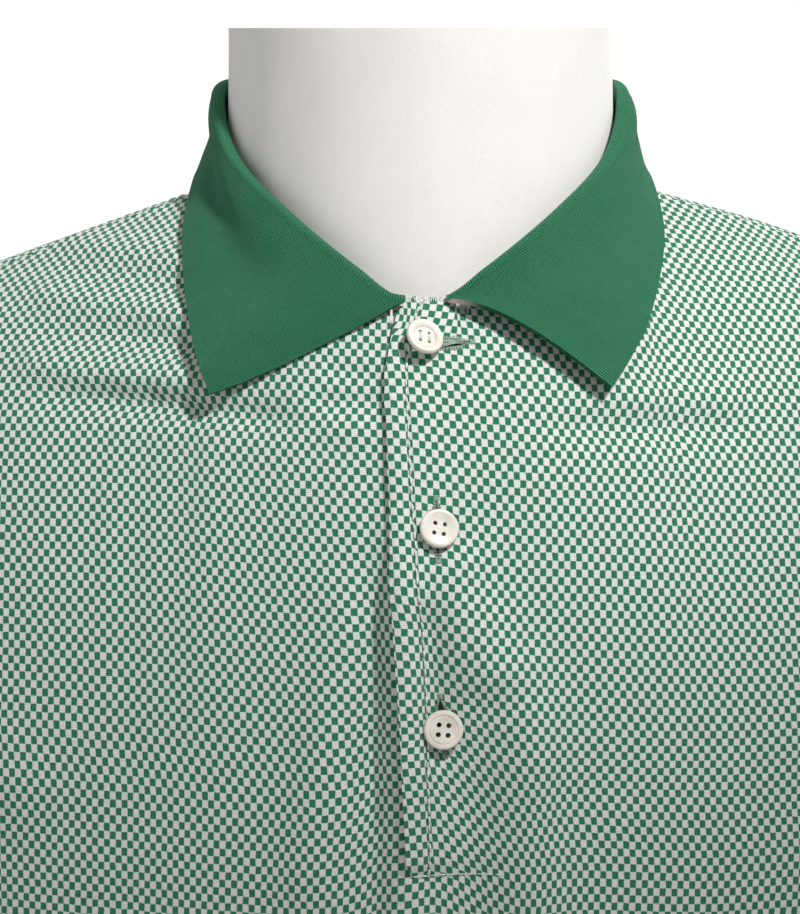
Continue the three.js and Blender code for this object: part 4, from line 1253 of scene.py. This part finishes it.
# up and x: its place on the placket. well: what lies inside its rim, as insets from the radius and
# depths under the top.
buttons = [
    {
        "up": 0.924, "x": -3.3, "nod": 8, "yaw": 18, "hole": 0.55,
        "well": ((1.7, 0.05), (2.1, 0.25), (2.6, 1.0)),
    },
    {
        "up": 0.649, "x": -0.3, "nod": 0, "yaw": 0, "hole": 0.64,
        "well": ((1.3, 0.06), (2.0, 0.2), (2.9, 0.42), (3.4, 0.48)),
    },
    {
        "up": 0.392, "x": -1.1, "nod": 0, "yaw": 0, "hole": 0.74,
        "well": ((1.35, 0.06), (1.5, 0.3), (1.75, 0.34), (1.9, 0.12), (2.8, 0.3)),
    },
]


def buttonMesh(name, well, holeRadius):
    # lathe outline of the disc, from the middle of its foot round to the middle of its well
    radius, thick = button["radius"], button["thick"]
    outline = [
        (radius - 0.9, 0), (radius - 0.15, thick * 0.35), (radius, thick * 0.6),
        (radius - 0.12, thick * 0.8), (radius - 0.4, thick * 0.95), (radius - 0.8, thick),
    ]
    outline += [(radius - inset, thick - deep) for inset, deep in well]
    bpy.ops.mesh.primitive_cylinder_add(vertices=button["vertices"], radius=outline[0][0] / 1000, depth=0.001)
    disc = bpy.context.object
    disc.name = name
    bm = bmesh.new()
    bm.from_mesh(disc.data)
    top = max(bm.faces, key=lambda f: f.calc_center_median().z)
    for vert in bm.verts:
        vert.co.z = 0 if vert.co.z < 0 else outline[1][1] / 1000
    scaleTo = outline[1][0] / outline[0][0]
    for vert in top.verts:
        vert.co.x *= scaleTo
        vert.co.y *= scaleTo
    for (wide, tall) in outline[2:]:
        extruded = bmesh.ops.extrude_discrete_faces(bm, faces=[top])["faces"]
        top = extruded[0]
        for vert in top.verts:
            flat = Vector((vert.co.x, vert.co.y)).normalized() * wide / 1000
            vert.co = (flat.x, flat.y, tall / 1000)
    bm.to_mesh(disc.data)
    bm.free()
    spread = button["holeSpread"] / 1000
    for x, y in ((1, 1), (-1, 1), (-1, -1), (1, -1)):
        bpy.ops.mesh.primitive_cylinder_add(
            vertices=24, radius=holeRadius / 1000, depth=0.01, location=(x * spread, y * spread, 0),
        )
        drill = bpy.context.object
        cut = disc.modifiers.new("hole", "BOOLEAN")
        cut.object = drill
        cut.solver = "EXACT"
        applyAll(disc)
        bpy.data.objects.remove(drill)
    shadeByAngle(disc, 35)
    return disc


# Lays a button on the placket, tipped by nod and yaw in degrees
def placeButton(obj, own):
    u = np.array(0.5 + own["x"] / (2 * placket["halfWidth"]))
    v = np.array(own["up"])
    du = upperPlacket(u + 0.24, v) - upperPlacket(u - 0.24, v)
    dv = upperPlacket(u, v + 0.03) - upperPlacket(u, v - 0.03)
    normal = unit(np.cross(du, dv))
    # the cloth bulges a little towards the disc
    ring = np.linspace(0, 2 * np.pi, 16, endpoint=False)
    around = upperPlacket(u + 0.22 * np.cos(ring), v + 0.027 * np.sin(ring))
    bulge = max(((around - upperPlacket(u, v)) @ normal).max(), 0)
    turn = Vector((0, 0, 1)).rotation_difference(Vector(normal.tolist())).to_matrix().to_4x4()
    nod, yaw = math.radians(own["nod"]), math.radians(own["yaw"])
    tipped = button["radius"] * math.sin(math.hypot(nod, yaw))
    seat = upperPlacket(u, v) + normal * (shirt["placketCloth"] / 2 + button["seat"] + tipped + bulge)
    place = Matrix.Translation(Vector((seat / 1000).tolist())) @ turn
    place = place @ Matrix.Rotation(yaw, 4, "Y") @ Matrix.Rotation(-nod, 4, "X")
    obj.data.transform(place)
    obj.location = (0, 0, 0)
    return place


for i, own in enumerate(buttons):
    disc = buttonMesh(f"button{i + 1}", own["well"], own["hole"])
    disc.data.materials.append(buttonMaterial)
    place = placeButton(disc, own)
    finish(disc, f"button_{i + 1}")
    if i == 0:
        # two bars of thread show in the well of the first one, each of two strands
        spread, low = button["holeSpread"], button["thick"] - own["well"][-1][1] - 0.1
        x = np.array([-spread, -spread + 0.35, spread - 0.1, spread + 0.25])
        foot, head, off = pointsOf(x, -spread, low), pointsOf(x, spread, low), pointsOf(x * 0, 0, 1)
        bars = threads("buttonThread", foot, head, off, 0.22, 0.55, threadMaterial)
        bars.data.transform(place)
print("buttons made")


# floor, light and camera
bpy.ops.mesh.primitive_plane_add(size=12, location=(0, 0, 0))
floor = bpy.context.object
floor.name = "floor"
floor.data.materials.append(Nodes("paleFloor").surface((0.86, 0.86, 0.85, 1), 0.9))


def lamp(name, kind, place, target, power, **settings):
    data = bpy.data.lights.new(name, kind)
    data.energy = power
    for key, value in settings.items():
        setattr(data, key, value)
    obj = bpy.data.objects.new(name, data)
    obj.location = place
    obj.rotation_euler = (Vector(target) - Vector(place)).to_track_quat("-Z", "Y").to_euler()
    scene.collection.objects.link(obj)
    return obj


# The key light is a soft cone on the collar and chest, from above the wearer's left shoulder.
cone = {"spot_size": math.radians(19.5), "spot_blend": 0.8, "shadow_soft_size": 0.09}
lamps = [
    lamp("keyLight", "SPOT", (0.6, -0.9, 1.85), (0.02, -0.05, 0.765), 96, **cone),
    lamp("fillLight", "AREA", (-1.8, -1.6, 1.0), (0, 0, 0.75), 6, size=2.0),
]

# A soft room whose far wall, behind the shirt, is brighter than the rest
room = {"farSide": (-0.3, 0.8), "strength": (0.23, 1.06)}
world = bpy.data.worlds.new("softRoom")
world.use_nodes = True
tree = world.node_tree
around = tree.nodes.new("ShaderNodeTexCoord")
split = tree.nodes.new("ShaderNodeSeparateXYZ")
wall = tree.nodes.new("ShaderNodeMapRange")
wall.interpolation_type = "SMOOTHSTEP"
for slot, value in enumerate(room["farSide"] + room["strength"], 1):
    wall.inputs[slot].default_value = value
tree.links.new(around.outputs["Generated"], split.inputs[0])
tree.links.new(split.outputs[1], wall.inputs[0])
tree.links.new(wall.outputs[0], tree.nodes["Background"].inputs["Strength"])
tree.nodes["Background"].inputs["Color"].default_value = (1, 1, 1, 1)
scene.world = world
scene.view_settings.view_transform = "Standard"

# lens, tall and horizon are in pixels: focal length, picture height, and how far below the horizon it looks
view = {"eye": (-0.0063, -1.09, 0.795), "sensor": 36, "lens": 3500, "tall": 914, "horizon": 429}
lens = bpy.data.cameras.new("camera")
lens.sensor_width = view["sensor"]
lens.sensor_fit = "AUTO"
lens.lens = view["sensor"] * view["lens"] / view["tall"]
camera = bpy.data.objects.new("camera", lens)
camera.location = view["eye"]
camera.rotation_euler = (math.pi / 2 - math.atan(view["horizon"] / view["lens"]), 0, 0)
scene.collection.objects.link(camera)
scene.camera = camera

print("scene ready")
